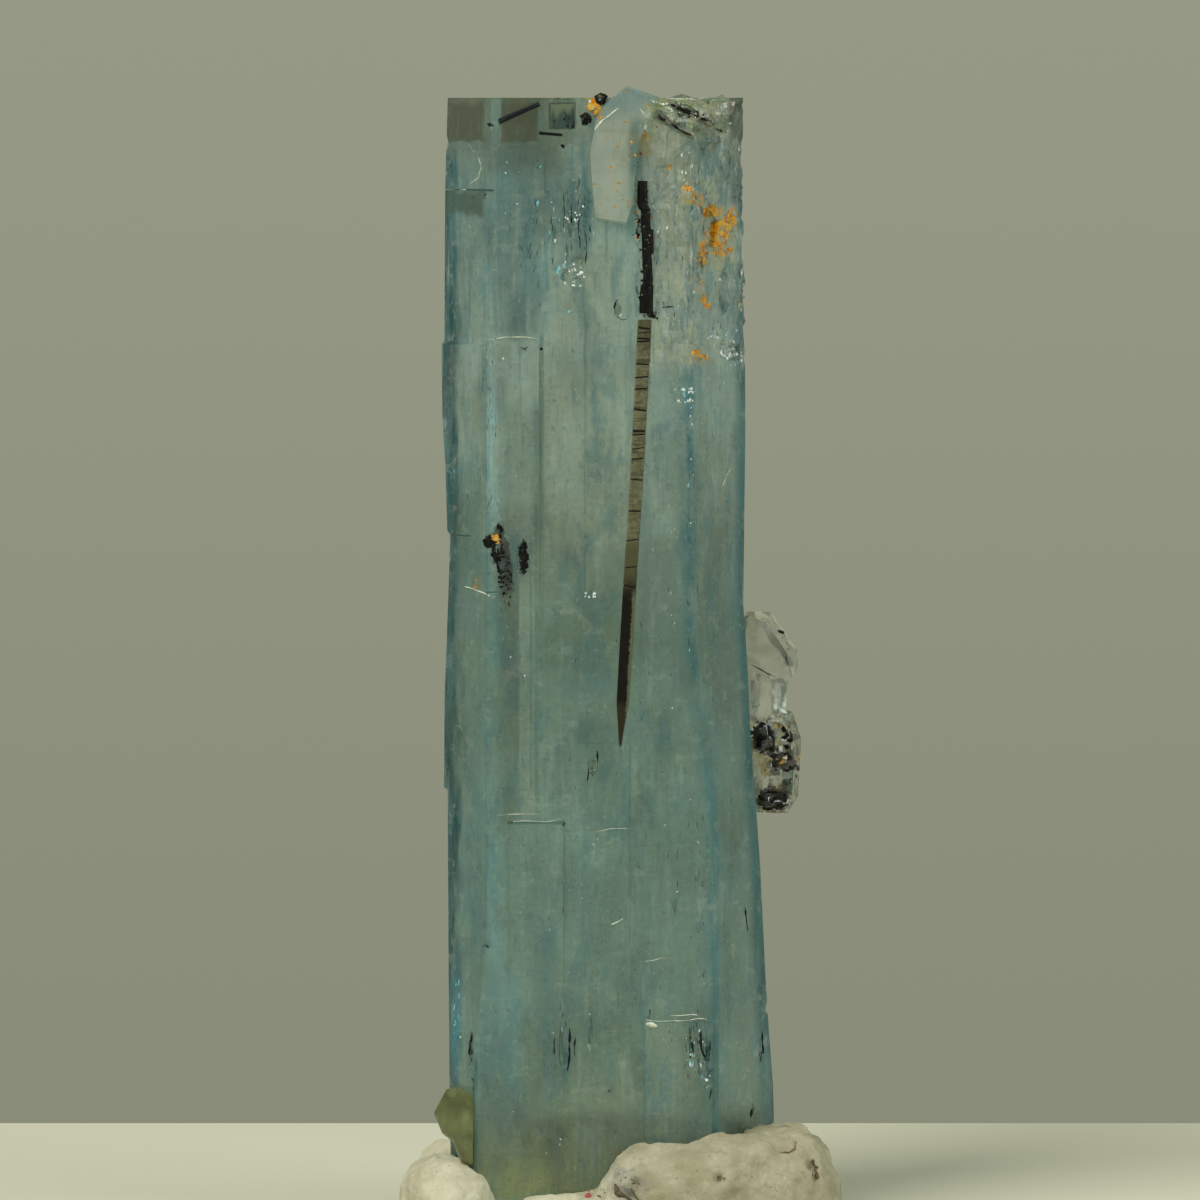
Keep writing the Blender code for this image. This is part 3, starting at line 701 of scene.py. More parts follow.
marks = {
    # thin pale lines of painted highlight along ledges and edges: points across and up, radius
    "lines": [
        ([(-8.93, 52.2), (-7.9, 52.24), (-7, 52.2), (-6.45, 52.16)], 35),
        ([(-7.8, 54.5), (-7.35, 54), (-7.1, 53.4), (-7.2, 52.85), (-7.95, 52.25)], 30),
        ([(-6.95, 44.72), (-6, 44.9), (-5, 44.86), (-4.2, 44.78), (-4.08, 44.3)], 26),
        ([(-8.45, 32.22), (-7.7, 32.27), (-7, 32.12), (-6.6, 31.85), (-6.3, 31.95)], 32),
        ([(-8.6, 34.9), (-8.1, 34.85), (-7.75, 34.8)], 28),
        ([(-5.9, 20.5), (-5, 20.66), (-3.9, 20.62), (-2.9, 20.7)], 20),
        ([(-6.3, 20.9), (-5.1, 21), (-4, 20.95)], 14),
        ([(1.05, 10.62), (2.2, 10.56), (3.7, 10.66), (4.4, 10.6)], 28),
        ([(1.05, 10.45), (1.55, 10.38), (1.95, 10.28)], 90), ([(2.4, 10.85), (3.3, 10.9), (3.9, 10.8)], 30),
        ([(-0.62, 15.4), (-0.4, 15.48), (-0.2, 15.6), (0.1, 15.85)], 40), ([(0.75, 38.1), (1.35, 38.3)], 20),
        ([(4.95, 37.3), (5.2, 37.9), (5.45, 38.3)], 30), ([(-8.2, 46), (-8.1, 46.4)], 50),
        ([(-1.3, 20.1), (-0.6, 20.3), (0.6, 20.25)], 15), ([(1.1, 13.6), (1.9, 13.75), (2.4, 13.72)], 20),
        ([(-1.43, 55.2), (-1.09, 55.7), (-0.18, 56.4)], 55), ([(0.6, 56.4), (1, 56), (1.3, 55.6)], 30),
        ([(1.2, 56.7), (1.9, 56.45), (2.6, 56.1)], 50), ([(2.2, 56.75), (3.2, 56.72), (4.3, 56.78)], 50),
    ],
    # painted glints, pale flecks that stand in for highlights on pits and chips: across, up, half width, half
    # height, count, smallest, largest, stretch
    "glints": [
        (-2.4, 50.4, 0.75, 1.5, 30, 12, 60, 1.3), (-2.3, 52.9, 0.4, 0.25, 22, 20, 50),
        (-2.6, 48.4, 0.6, 1, 34, 15, 70, 1.5), (-3.9, 52, 0.5, 0.8, 10, 20, 70, 1.5),
        (-5.6, 51.5, 1.2, 2.5, 16, 15, 50, 1.4), (-8, 50, 0.8, 4, 16, 15, 50, 1.4),
        (-0.05, 46.05, 0.22, 0.22, 18, 30, 90), (4.45, 44.8, 0.35, 0.14, 22, 40, 150, 0.6),
        (5.35, 43.95, 0.55, 0.24, 34, 50, 170, 0.6), (3.2, 42.2, 0.3, 0.22, 22, 30, 120, 0.7),
        (3.1, 41.7, 0.4, 0.1, 22, 30, 110, 0.6), (2.5, 52.2, 1.3, 3, 60, 15, 60, 1.8),
        (4.6, 48, 1.3, 4.2, 70, 15, 70, 1.6), (5.6, 44.6, 0.5, 0.6, 18, 30, 100, 1.2),
        (2.6, 42.1, 0.4, 0.2, 10, 20, 70, 0.7), (-6.5, 39.5, 2, 4.5, 26, 15, 50),
        (-2, 38, 2.5, 6, 30, 12, 40), (2.4, 36, 1.4, 7, 34, 12, 50, 1.1), (-6, 29, 1.5, 3, 22, 15, 50),
        (-4.9, 28.4, 0.5, 0.7, 14, 20, 60, 1.2), (-1.67, 32, 0.3, 0.16, 9, 60, 130, 0.7),
        (-3, 23, 4, 6, 40, 12, 40), (3, 22, 1.8, 6, 30, 12, 45, 1.2), (-3, 12, 4, 5, 44, 12, 45),
        (-8.35, 10.4, 0.2, 1.4, 14, 30, 80), (3.4, 9.2, 0.8, 1.2, 40, 20, 80, 1.6),
        (4.1, 7.6, 0.3, 0.4, 16, 30, 90), (-0.2, 6.8, 1.2, 1.2, 26, 15, 50, 0.8),
        (-4, 4.6, 3.2, 1.8, 20, 12, 45), (5, 20, 1.4, 14, 30, 12, 40, 1.3),
        (2.5, 56.1, 1.3, 0.5, 34, 30, 100, 0.7), (-1.4, 56.4, 0.4, 0.4, 12, 30, 100),
        (4.9, 55.6, 0.5, 0.7, 14, 30, 80), (3.4, 38.5, 0.12, 4.5, 46, 15, 50, 1.4),
        (-2.5, 47.9, 0.55, 0.75, 90, 15, 100), (-2.5, 50.9, 0.42, 0.4, 56, 20, 100, 0.8),
        (5.5, 43.8, 0.55, 0.5, 30, 30, 120, 0.8), (3.9, 22, 0.2, 6, 26, 12, 45, 1.4),
        (-6.85, 35, 0.14, 8.5, 40, 12, 45, 1.6), (-1, 30, 6.5, 26, 220, 8, 30, 1.1),
        (4.9, 30, 1.3, 24, 60, 8, 28, 1.4), (-7.9, 30, 0.8, 24, 60, 8, 30, 1.4),
    ],
    # upright slivers of darker and of paler growth
    "darkSlivers": [
        (-2.3, 50.5, 0.9, 2.2, 60, 12, 45, 6), (-4.2, 49.5, 1, 3, 50, 10, 35, 7),
        (4.6, 46.5, 1.4, 4, 70, 12, 40, 5), (2.6, 49, 1, 4, 60, 10, 35, 5),
        (5.7, 53.2, 0.4, 1.8, 24, 12, 50, 6), (-3.3, 9, 0.9, 2.6, 36, 12, 45, 5),
        (3.6, 9, 0.6, 1.6, 30, 12, 50, 5), (2, 15, 1.6, 6, 36, 10, 35, 6), (-1.5, 22, 5, 8, 70, 8, 30, 6),
        (-7, 37, 1.6, 8, 50, 10, 35, 5), (1.6, 29, 1.6, 5, 50, 10, 35, 5), (3.45, 34, 0.3, 9, 60, 10, 35, 6),
        (3.9, 18, 0.3, 9, 50, 10, 35, 6), (-6.8, 44, 0.3, 9, 40, 10, 30, 6), (5.2, 30, 0.9, 18, 60, 8, 35, 6),
    ],
    "paleSlivers": [
        (2.6, 48.5, 1.2, 5, 120, 10, 35, 4), (4.7, 47.5, 1.4, 5, 120, 10, 40, 3.5),
        (4.6, 53.5, 1.2, 1.5, 40, 12, 50, 3.5), (-2.4, 50, 1.2, 3, 60, 10, 35, 4),
        (-5.5, 50, 1.6, 3.5, 50, 8, 30, 4), (-2, 38, 4, 8, 90, 8, 28, 3.5), (2.6, 36, 1.4, 8, 90, 8, 30, 3.5),
        (-1, 16, 5.5, 13, 140, 8, 28, 3.5), (5.2, 24, 1, 16, 60, 8, 28, 4), (-7.9, 36, 0.8, 16, 70, 8, 28, 4),
    ],
    # small grown-on chips along the broken edges
    "etchedChips": [
        (5.55, 50.6, 0.2, 0.85, 12, 100, 260, 1.3), (5.95, 47.8, 0.14, 1.3, 12, 100, 220, 1.4),
        (5.85, 46.2, 0.25, 0.25, 7, 80, 220), (5.5, 44.3, 0.6, 0.5, 20, 100, 300, 0.9),
        (2.4, 56.5, 1.1, 0.2, 14, 60, 180, 0.6), (-1.5, 56.75, 0.4, 0.12, 5, 60, 140, 0.7),
        (4.6, 56, 0.7, 0.4, 10, 80, 200), (5.7, 54, 0.3, 0.6, 6, 60, 160, 1.4),
        (0.95, 55.6, 0.2, 0.5, 5, 50, 120, 1.8), (4.9, 42.4, 0.4, 0.6, 6, 50, 140, 1.6),
    ],
    # painted blue glints, pale blue flecks that stand in for highlights
    "blueGlints": [
        (-8.4, 10.6, 0.22, 1.9, 30, 20, 80, 2.6), (4.1, 7.85, 0.28, 0.22, 16, 30, 100, 0.8),
        (3.7, 9, 0.6, 1.2, 26, 15, 60, 3), (3.35, 38, 0.2, 5, 40, 15, 60, 3),
        (3.6, 30, 0.2, 4, 20, 12, 50, 3), (5.5, 43.9, 0.5, 0.9, 26, 20, 80, 1.3),
        (4.7, 45.5, 0.8, 1.2, 24, 15, 60, 1.6), (-3.2, 48.3, 0.3, 0.6, 26, 20, 100, 1.6),
        (-5.9, 46.1, 0.12, 0.14, 8, 30, 90), (-2.66, 46.2, 0.1, 0.12, 7, 30, 90),
        (-4.33, 51.7, 0.1, 0.2, 8, 30, 80, 1.6), (-4.2, 53.6, 0.2, 0.3, 7, 20, 60, 1.6),
        (-2.8, 53.6, 0.3, 0.2, 10, 20, 70), (3.2, 42, 0.4, 0.5, 14, 20, 80, 1.4),
        (5.2, 44.9, 0.4, 0.3, 14, 20, 100), (-3.9, 50.5, 0.9, 1.5, 20, 12, 60, 3),
        (-6.6, 40, 0.2, 4, 18, 15, 50, 3.5), (-2.7, 9, 0.3, 1.2, 18, 15, 60, 3),
        (-1.5, 19.6, 0.3, 0.6, 10, 20, 60, 1.6), (-8.6, 40, 0.2, 14, 40, 15, 50, 3),
    ],
}
ledgeHighlightLook = makePaleMaterial("paintedLedgeHighlight", (196, 204, 188), (158, 166, 146), (0.35, 0.6))
glintLook = makePaleMaterial("paintedGlint", (222, 232, 230), (176, 190, 182), (0.12, 0.3))
blueLook = makePaleMaterial("paintedBlueGlint", (134, 188, 202), (80, 144, 160), (0.15, 0.35))
darkSliverLook = makePaleMaterial("darkSliver", (56, 84, 84), (34, 52, 52), (0.3, 0.5))
paleSliverLook = makePaleMaterial("paleSliver", (164, 180, 166), (130, 148, 134), (0.3, 0.5))
# painted highlights laid as pale threads along the ledges
threadPiece(threadsOn(crystal, marks["lines"]), "ledgeHighlights", ledgeHighlightLook, "aquamarine")
# name, look, seed, how deep, jitter and thickness of the grains
for name, look, *shape in (
    ("glints", glintLook, 5, 0.12, 0.55, 0.45),
    ("blueGlints", blueLook, 9, 0.12, 0.25, 0.45),
    ("darkSlivers", darkSliverLook, 14, 0.04, 0.25, 0.5),
    ("paleSlivers", paleSliverLook, 15, 0.04, 0.25, 0.5),
    ("etchedChips", makeChipMaterial(), 16, 0.12, 0.5, 0.8),
):
    scatterPiece(crystal, marks[name], name, look, "aquamarine", *shape)
print("pale marks ready")


# rust crust

rust = {
    "patches": [
        (4.4, 51.1, 0.5, 0.28, 100, 30, 150, 0.9), (5.3, 50.5, 0.4, 0.35, 120, 40, 170, 0.9),
        (5.45, 50.9, 0.22, 0.3, 44, 40, 180), (4.8, 50, 0.5, 0.7, 240, 30, 170, 1.1),
        (3.95, 49, 0.2, 0.6, 80, 30, 150, 1.3), (5, 49.1, 0.6, 0.22, 90, 30, 120, 0.8),
        (4.3, 49.9, 0.3, 0.6, 60, 20, 100, 1.2), (2.93, 52.42, 0.2, 0.09, 26, 20, 100, 0.8),
        (3.2, 52.25, 0.2, 0.09, 30, 30, 120, 0.8), (3.48, 52, 0.14, 0.1, 16, 20, 90, 0.9),
        (3.65, 51.7, 0.28, 0.35, 36, 20, 100), (4.03, 46.8, 0.1, 0.2, 26, 20, 100, 1.1),
        (4.2, 46.45, 0.2, 0.13, 40, 30, 120, 0.9), (4.38, 46.28, 0.1, 0.08, 12, 20, 80, 0.8),
        (3.85, 47.4, 0.2, 0.7, 24, 20, 70), (3.62, 44.12, 0.22, 0.12, 44, 30, 140, 0.8),
        (3.88, 43.86, 0.28, 0.1, 40, 30, 130, 0.8), (4.15, 43.7, 0.2, 0.25, 14, 20, 100),
        (5.9, 46.45, 0.22, 0.12, 14, 30, 100, 0.8), (-1.45, 56.35, 0.28, 0.42, 44, 40, 150),
        (-1.3, 55.9, 0.2, 0.2, 12, 30, 100), (1.05, 54.95, 0.16, 0.2, 16, 30, 100, 1.2),
        (0.75, 53.9, 0.2, 0.35, 14, 20, 80, 1.2), (0.3, 54.3, 0.2, 0.7, 20, 15, 70, 1.4),
        (-0.6, 54.2, 0.75, 1.3, 34, 15, 80, 0.8), (-0.4, 52, 0.45, 1.2, 26, 15, 70, 0.8),
        (2.3, 53.4, 0.12, 0.22, 12, 30, 90, 1.2), (1.5, 54, 0.3, 0.8, 10, 15, 50, 1.2),
        (3.9, 55.9, 0.7, 0.3, 14, 20, 70, 0.8), (0.62, 51.4, 0.08, 1.6, 26, 15, 60, 1.6),
        (1.45, 49.6, 0.08, 2.6, 22, 12, 50, 1.6), (-6.32, 34.78, 0.15, 0.2, 44, 30, 120),
        (-7.4, 32.6, 0.08, 0.4, 16, 20, 80, 1.6), (-6.9, 46, 0.05, 0.6, 8, 15, 50, 2),
        (3.4, 49, 0.6, 2.4, 44, 12, 50, 1.4), (1.1, 10, 0.2, 6, 20, 12, 40), (3.9, 12.5, 0.12, 5, 26, 12, 35),
        (-3.5, 4, 3.4, 1.6, 26, 12, 50), (-1, 26, 5.5, 14, 34, 10, 35), (-1, 12, 5.5, 8, 24, 10, 35),
        (0.68, 50.6, 0.07, 1.9, 30, 20, 70, 1.4), (1.46, 49, 0.06, 2, 24, 15, 60, 1.4),
        (-6.5, 34.9, 0.2, 0.2, 16, 30, 100),
    ],
    "deep": tone(158, 90, 8),
    "light": tone(216, 146, 24),
    "ochre": tone(196, 164, 76),
}


def makeRustMaterial():
    n = Nodes("rustCrust")
    grain = n.noise(4, 6, roughness=0.7)
    colour = n.mix(n.ramp(grain, 0.36, 0.56), rust["deep"], rust["light"])
    colour = n.mix(n.ramp(n.noise(2.2, 5, shift=(4, 4, 4)), 0.48, 0.62), colour, rust["ochre"])
    n.set(colour=colour, roughness=0.85, specular=0.2, normal=n.bump(grain, 0.04))
    return n.material


scatterPiece(crystal, rust["patches"], "rustCrust", makeRustMaterial(), "aquamarine", 11, 0.05, 0.4, 0.25)
print("rust ready")


# black and brown schorl

schorl = {
    "fill": 0.02 * mm,
    # where the shown fronts are cut off: just proud of the crystal, level with it or just below it
    "proud": -4.345 * mm,
    "flush": -4.312 * mm,
    "below": -4.262 * mm,
    "black": tone(5, 5, 3),
    "worn": tone(34, 33, 24),
    "brown": tone(102, 103, 80),
    "brownDeep": tone(74, 73, 52),
    "blueBlack": tone(10, 18, 22),
    # how each piece is made rough: start of its name, grow, jitter, cuts, second jitter, seed, cut-off front
    "shapes": [
        ("schorl_needle_upper", 0.02, 0, 2, 0.03, 4, None),
        ("schorl_tuft", 0, 0.08, 2, 0.06, 6, "below"),
        ("schorl_patch", 0, 0.08, 2, 0.06, 6, "flush"),
        ("schorl_block_top", 0.04, 0.08, 3, 0.05, 6, "flush"),
        ("schorl_cluster", 0, 0.3, 2, 0.12, 6, None),
        ("schorl_needle_flake", -0.03, 0.03, 3, 0.05, 6, None),
        ("schorl_needle_top", 0, 0, 2, 0.025, 6, None),
        ("schorl_grain", 0.08, 0.14, 1, 0.09, 6, None),
    ],
    # the upper needle's steps: low, high, left, right
    "steps": [
        (45.7, 47.5, 0.78, 1.48), (47.5, 49.05, 0.92, 1.45), (49.05, 50.25, 0.9, 1.5),
        (50.25, 51.25, 0.86, 1.35), (51.25, 52.8, 0.69, 1.31),
    ],
    # heights of the long needle's cracks, their half widths, lean and depth
    "cracks": [
        45.4, 45.05, 44.85, 44.65, 43.55, 42.85, 42.3, 41.3, 40.2, 40, 39.3, 38.8, 37.8, 36.2, 34.75, 33.4,
        32.4,
    ],
    "crackHalf": (0.02, 0.05),
    "crackLean": (-0.15, 0.15),
    "crackDeep": 0.022 * mm,
    # black granular streaks: across, up, half width, half height, count, smallest, largest, stretch
    "grains": [
        (-6.72, 34.7, 0.24, 0.28, 40, 60, 170), (-6.2, 35.2, 0.1, 0.32, 18, 50, 130, 1.6),
        (-6.3, 34.2, 0.28, 0.6, 90, 30, 130, 1.3), (-5.95, 33.3, 0.38, 1, 170, 20, 80, 1.5),
        (-5.8, 32.2, 0.32, 1, 90, 15, 60, 1.6), (-5, 33.9, 0.2, 0.85, 200, 30, 100, 1.3),
        (1.05, 47.3, 0.42, 1.5, 60, 30, 90, 1.4), (1.05, 50.2, 0.4, 2.2, 70, 30, 90, 1.4),
        (-1.25, 56.7, 0.2, 0.16, 14, 60, 160), (-1.85, 55.75, 0.18, 0.16, 14, 60, 150),
        (-4.95, 32.9, 0.2, 0.5, 20, 15, 50, 1.3), (0.75, 50.1, 0.3, 0.8, 30, 15, 60, 1.4),
        (1.6, 46.3, 0.3, 0.5, 16, 20, 60, 1.2), (2, 46.35, 0.14, 0.03, 3, 40, 70, 0.6),
        (2.45, 46.4, 0.1, 0.03, 3, 40, 60, 0.6), (-3.02, 54.4, 0.04, 0.06, 4, 60, 100, 1.2),
        (-7.68, 9.1, 0.1, 0.9, 34, 40, 130, 2.2), (-7.55, 7.4, 0.1, 0.4, 14, 30, 80, 1.6),
        (1.3, 10.95, 0.04, 0.35, 6, 30, 60, 2.2), (6.95, 8.6, 0.07, 0.7, 12, 30, 80, 2.4),
        (6.55, 5.6, 0.1, 0.35, 14, 50, 120, 1.6), (-0.6, 7, 0.12, 0.25, 8, 30, 70, 1.4),
        (-5, 44.35, 0.2, 0.1, 12, 30, 80, 0.5), (-4.15, 44.3, 0.06, 0.06, 3, 40, 80),
        (-7.4, 46.9, 0.15, 0.1, 5, 20, 60, 0.5), (-1.9, 50.6, 0.3, 1.4, 18, 12, 45, 3),
        (-2.4, 48.2, 0.3, 0.6, 12, 15, 50, 1.4), (-5.75, 20.6, 0.12, 0.1, 5, 30, 70, 0.8),
        (-3, 20.55, 0.14, 0.12, 8, 30, 80), (3.7, 9.1, 0.4, 0.9, 18, 20, 70, 2.4),
        (4.3, 8.6, 0.2, 0.6, 10, 20, 70, 2.4), (-1.7, 23, 0.5, 0.9, 12, 10, 40, 1.4),
        (-2, 24, 5.5, 16, 40, 8, 35, 1.2), (4.8, 34, 0.8, 12, 14, 10, 35, 1.6),
        (-6.9, 14.3, 0.1, 0.1, 4, 30, 70), (0.72, 50.4, 0.1, 0.6, 40, 30, 90, 1.3),
        (1.35, 46, 0.25, 0.2, 20, 30, 100, 1.2), (3.5, 55.95, 0.9, 0.16, 40, 30, 110, 0.8),
        (2.4, 55.4, 0.9, 0.12, 24, 20, 60, 0.8), (4.9, 55.2, 0.3, 0.12, 10, 20, 70, 0.8),
        (-2.6, 55.6, 0.45, 0.3, 30, 30, 100, 0.7), (-3.2, 55.7, 0.3, 0.4, 24, 20, 80, 0.7),
        (-7, 52, 0.12, 0.25, 14, 20, 70, 1.4), (-8.1, 51.9, 0.7, 0.12, 10, 10, 40, 0.8),
        (-3.1, 56.75, 0.45, 0.08, 10, 30, 90, 0.6),
    ],
    # thin dark lines: points across and up, radius
    "hairs": [
        ([(2.4, 56.45), (2.9, 56.22), (3.4, 55.95)], 100), ([(3.5, 55.95), (3.95, 55.78), (4.35, 55.5)], 90),
        ([(1.6, 56), (2.2, 55.6)], 50), ([(2.35, 55.5), (2.9, 55.15), (3.5, 54.85)], 45),
        ([(4.5, 55.3), (5.1, 55)], 50), ([(1.4, 46.2), (1.85, 45.6)], 35),
        ([(1.9, 46.4), (2.55, 46.42)], 30), ([(-6.83, 55.5), (-6.3, 55.33)], 75),
        ([(-3.3, 56.8), (-2.8, 56.95), (-2.5, 56.8)], 70), ([(-3, 52), (-2.95, 51), (-3.05, 50.2)], 20),
        ([(-2.6, 51.4), (-2.55, 50.4)], 28), ([(-2.2, 51.2), (-2.25, 50), (-2.15, 49.2)], 22),
        ([(-1.9, 50.2), (-1.85, 49), (-1.95, 48.4)], 24), ([(-2.8, 49.6), (-2.75, 48.9)], 22),
        ([(-3.6, 51), (-3.55, 50)], 16), ([(-6.6, 34.2), (-6.35, 33.7), (-6.1, 32.9)], 70),
        ([(-6.3, 34.3), (-6.2, 33.6)], 50),
        ([(-0.42, 46), (-0.48, 46.35), (-0.36, 46.7), (-0.05, 46.88)], 35),
        ([(-0.35, 45.9), (-0.05, 45.72), (0.3, 45.8)], 28),
    ],
    # blue-black seams that run down the crystal
    "seams": [
        ([(-2.75, 10.2), (-2.7, 9), (-2.78, 7.9)], 60), ([(-2.45, 9.8), (-2.42, 8.6)], 35),
        ([(-3.45, 9.7), (-3.42, 8.7)], 40), ([(3.3, 10.3), (3.4, 9.6), (3.55, 8.8)], 50),
        ([(3.85, 10.1), (3.95, 9.2), (4.15, 8.4)], 55), ([(4.35, 9.6), (4.3, 8.9)], 30),
        ([(4.4, 7.2), (4.35, 6.5)], 50), ([(-1.75, 10), (-1.7, 9.2)], 20),
        ([(-1.3, 24.2), (-1.35, 23.4)], 50), ([(-1.75, 23.3), (-1.8, 22.5)], 40),
        ([(6.1, 16.4), (6.3, 14.6)], 40), ([(7.05, 9.6), (7.1, 8.2)], 70),
        ([(-3, 16.4), (-3.02, 15.8)], 30),
    ],
    # pale grains on the upper needle
    "paleGrains": [(1.1, 49.3, 0.26, 3.4, 46, 15, 50)],
}


def makeSchorlMaterial(name, dark, pale, share):
    n = Nodes(name)
    grain = n.noise(5, 6, (1, 1, 0.35), roughness=0.65)
    colour = n.mix(n.ramp(grain, 0.5, 0.72, 0, share), dark, pale)
    n.set(colour=colour, roughness=n.ramp(grain, 0.4, 0.7, 0.4, 0.7), specular=0.16)
    n.set(normal=n.bump(grain, 0.06, 0.8))
    return n.material


def makeNeedleMaterial():
    # brown and see-through looking above, black below with a pale right side
    n = Nodes("brownSchorl")
    grain = n.noise(3, 6, (1, 1, 1.6), roughness=0.65)
    fibres = n.noise(6, 4, (1.5, 1.5, 0.12))
    drift = n.minus(grain, 0.5)
    colour = n.mix(n.ramp(grain, 0.35, 0.65), schorl["brown"], schorl["brownDeep"])
    colour = n.mix(n.ramp(fibres, 0.5, 0.75, 0, 0.5), colour, tone(128, 128, 104))
    # fine dark lines across, closest together above
    lines = n.noise(1, 4, (0.6, 0.6, 8), (1, 2, 3), 0.6)
    lines = n.times(n.ramp(lines, 0.54, 0.62), n.ramp(n.up, 34, 40, 0.25, 0.7))
    colour = n.mix(lines, colour, tone(50, 48, 34))
    aside = n.minus(n.across, n.ramp(n.up, 24.2, 45.7, -0.17, 1.06, smooth=False))
    colour = n.mix(n.ramp(aside, -0.2, -0.38, 0, 0.35), colour, tone(160, 156, 132))
    # darker at the top and again downwards: from, full, share, tone
    cloudUp = n.plus(n.up, n.times(drift, 1.6))
    for start, full, share, values in (
        (43.9, 44.7, 0.6, (58, 56, 38)), (35, 34.2, 0.8, (66, 64, 42)), (33.4, 32.2, 0.85, (36, 32, 18)),
    ):
        colour = n.mix(n.ramp(cloudUp, start, full, 0, share), colour, tone(*values))
    ragged = n.plus(aside, n.times(drift, 0.25))
    paleRight = n.times(n.ramp(n.up, 32.4, 31.8), n.ramp(ragged, 0.12, 0.22))
    colour = n.mix(paleRight, colour, tone(84, 88, 66))
    black = n.times(n.ramp(cloudUp, 32.6, 31.7), n.ramp(ragged, 0.24, 0.1), n.ramp(n.up, 26.3, 26.8, 0.3, 1))
    colour = n.mix(black, colour, tone(10, 7, 4))
    n.set(colour=colour, roughness=n.ramp(grain, 0.4, 0.65, 0.35, 0.6), normal=n.bump(grain, 0.05, 0.7))
    n.set(specular=0.2)
    return n.material


def makeBlockMaterial():
    # blue-black fibres that pale towards the top and the left
    n = Nodes("blockSchorl")
    fibres = n.noise(1.6, 6, (1.6, 1, 0.4), roughness=0.65)
    drift = n.times(n.minus(fibres, 0.5), 1.2)
    colour = n.mix(n.ramp(fibres, 0.38, 0.62), tone(16, 26, 26), tone(54, 72, 68))
    colour = n.mix(n.ramp(n.plus(n.up, drift), 55.8, 56.4, 0, 0.85), colour, tone(98, 112, 92))
    colour = n.mix(n.ramp(n.plus(n.across, drift), -3.4, -3.75, 0, 0.8), colour, tone(86, 100, 86))
    n.set(colour=colour, roughness=0.5, specular=0.2, normal=n.bump(fibres, 0.05, 0.6))
    return n.material


def grooveNeedle(piece, heights):
    # a shallow dark groove across the needle at every crack
    pick = random.Random(2)
    piece.data.materials.append(crackLook)
    for height in heights:
        half = pick.uniform(*schorl["crackHalf"])
        normal = Vector((pick.uniform(*schorl["crackLean"]), 0, 1)).normalized()
        planes = []
        # the outer two cuts hold the needle's front in place
        for offset in (-half - 0.02, half + 0.02, -half, half):
            point = Vector((0.5 * mm, -4.2 * mm, (height + offset) * mm))
            planes.append(point.dot(normal))
            cutAcross(piece, point, normal)
        editMode(piece)
        shape = bmesh.from_edit_mesh(piece.data)
        for face in shape.faces:
            if planes[2] < face.calc_center_median().dot(normal) < planes[3]:
                face.select_set(True)
        bmesh.update_edit_mesh(piece.data)
        bpy.ops.transform.shrink_fatten(value=-schorl["crackDeep"])
        piece.active_material_index = 1
        bpy.ops.object.material_slot_assign()
        objectMode()


def levelFront(piece, depth):
    # below the crystal's front a piece shows through softly
    cutAcross(piece, (0, depth, 0), (0, 1, 0), clear=True)
    editMode(piece, "SELECT")
    bpy.ops.mesh.quads_convert_to_tris(ngon_method="BEAUTY")
    objectMode()


def roughen(piece, first, cuts, second, seed):
    editMode(piece, "SELECT")
    bpy.ops.transform.vertex_random(offset=first * mm, seed=seed)
    bpy.ops.mesh.subdivide(number_cuts=cuts)
    bpy.ops.transform.vertex_random(offset=second * mm, seed=seed + 1)
    objectMode()


def stepNeedle(piece, steps):
    # the upper needle grew in blocks of slightly different width
    for low, high, left, right in steps:
        for height in (low + 0.03, high - 0.03):
            cutAcross(piece, (0, 0, height * mm), (0, 0, 1))
    for low, high, left, right in steps:
        editMode(piece)
        shape = bmesh.from_edit_mesh(piece.data)
        block = [vert for vert in shape.verts if low * mm < vert.co.z < high * mm]
        for vert in block:
            vert.select_set(True)
        across = [vert.co.x for vert in block]
        middle = (min(across) + max(across)) / 2
        width = max(across) - min(across)
        bmesh.update_edit_mesh(piece.data)
        bpy.ops.transform.resize(value=((right - left) * mm / width, 1, 1), center_override=(middle, 0, 0))
        bpy.ops.transform.translate(value=((left + right) / 2 * mm - middle, 0, 0))
        objectMode()


def makeSchorlPiece(nodeName, grow, first, cuts, second, seed, front):
    piece = copyOfNode(nodeName, nodeName + "_shown")
    if grow:
        fatten(piece, grow * mm)
    if nodeName == "schorl_needle_upper":
        stepNeedle(piece, schorl["steps"])
    roughen(piece, first, cuts, second, seed)
    if front:
        levelFront(piece, schorl[front])
    finishPiece(piece, looks.get(nodeName, schorlLook), "schorl", nodeName)


schorlLook = makeSchorlMaterial("blackSchorl", schorl["black"], schorl["worn"], 0.6)
rodLook = makeSchorlMaterial("blueBlackSchorl", schorl["blueBlack"], tone(26, 52, 66), 0.6)
crackLook = makeSchorlMaterial("schorlCrack", tone(16, 13, 8), tone(40, 34, 24), 0.5)
dustLook = makePaleMaterial("needleDust", (132, 124, 96), (86, 74, 48), (0.5, 0.7))
looks = {"schorl_needle_top_left": rodLook, "schorl_block_top": makeBlockMaterial()}
for nodeName in sorted(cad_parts):
    for start, *shape in schorl["shapes"]:
        if nodeName.startswith(start):
            makeSchorlPiece(nodeName, *shape)
longNeedle = copyOfNode("schorl_needle_long", "schorl_needle_long_shown")
fatten(longNeedle, schorl["fill"])
levelFront(longNeedle, schorl["proud"])
longNeedle.data.materials.append(makeNeedleMaterial())
grooveNeedle(longNeedle, schorl["cracks"])
finishPiece(longNeedle, None, "schorl", "schorl_needle_long")
scatterPiece(crystal, schorl["grains"], "schorlGrains", schorlLook, "schorl", 8, 0.1, 0.4)
threadPiece(threadsOn(crystal, schorl["hairs"]), "hairs", schorlLook, "schorl")
threadPiece(threadsOn(crystal, schorl["seams"]), "seams", rodLook, "schorl")
upperNeedle = bpy.data.objects["schorl_needle_upper_shown"]
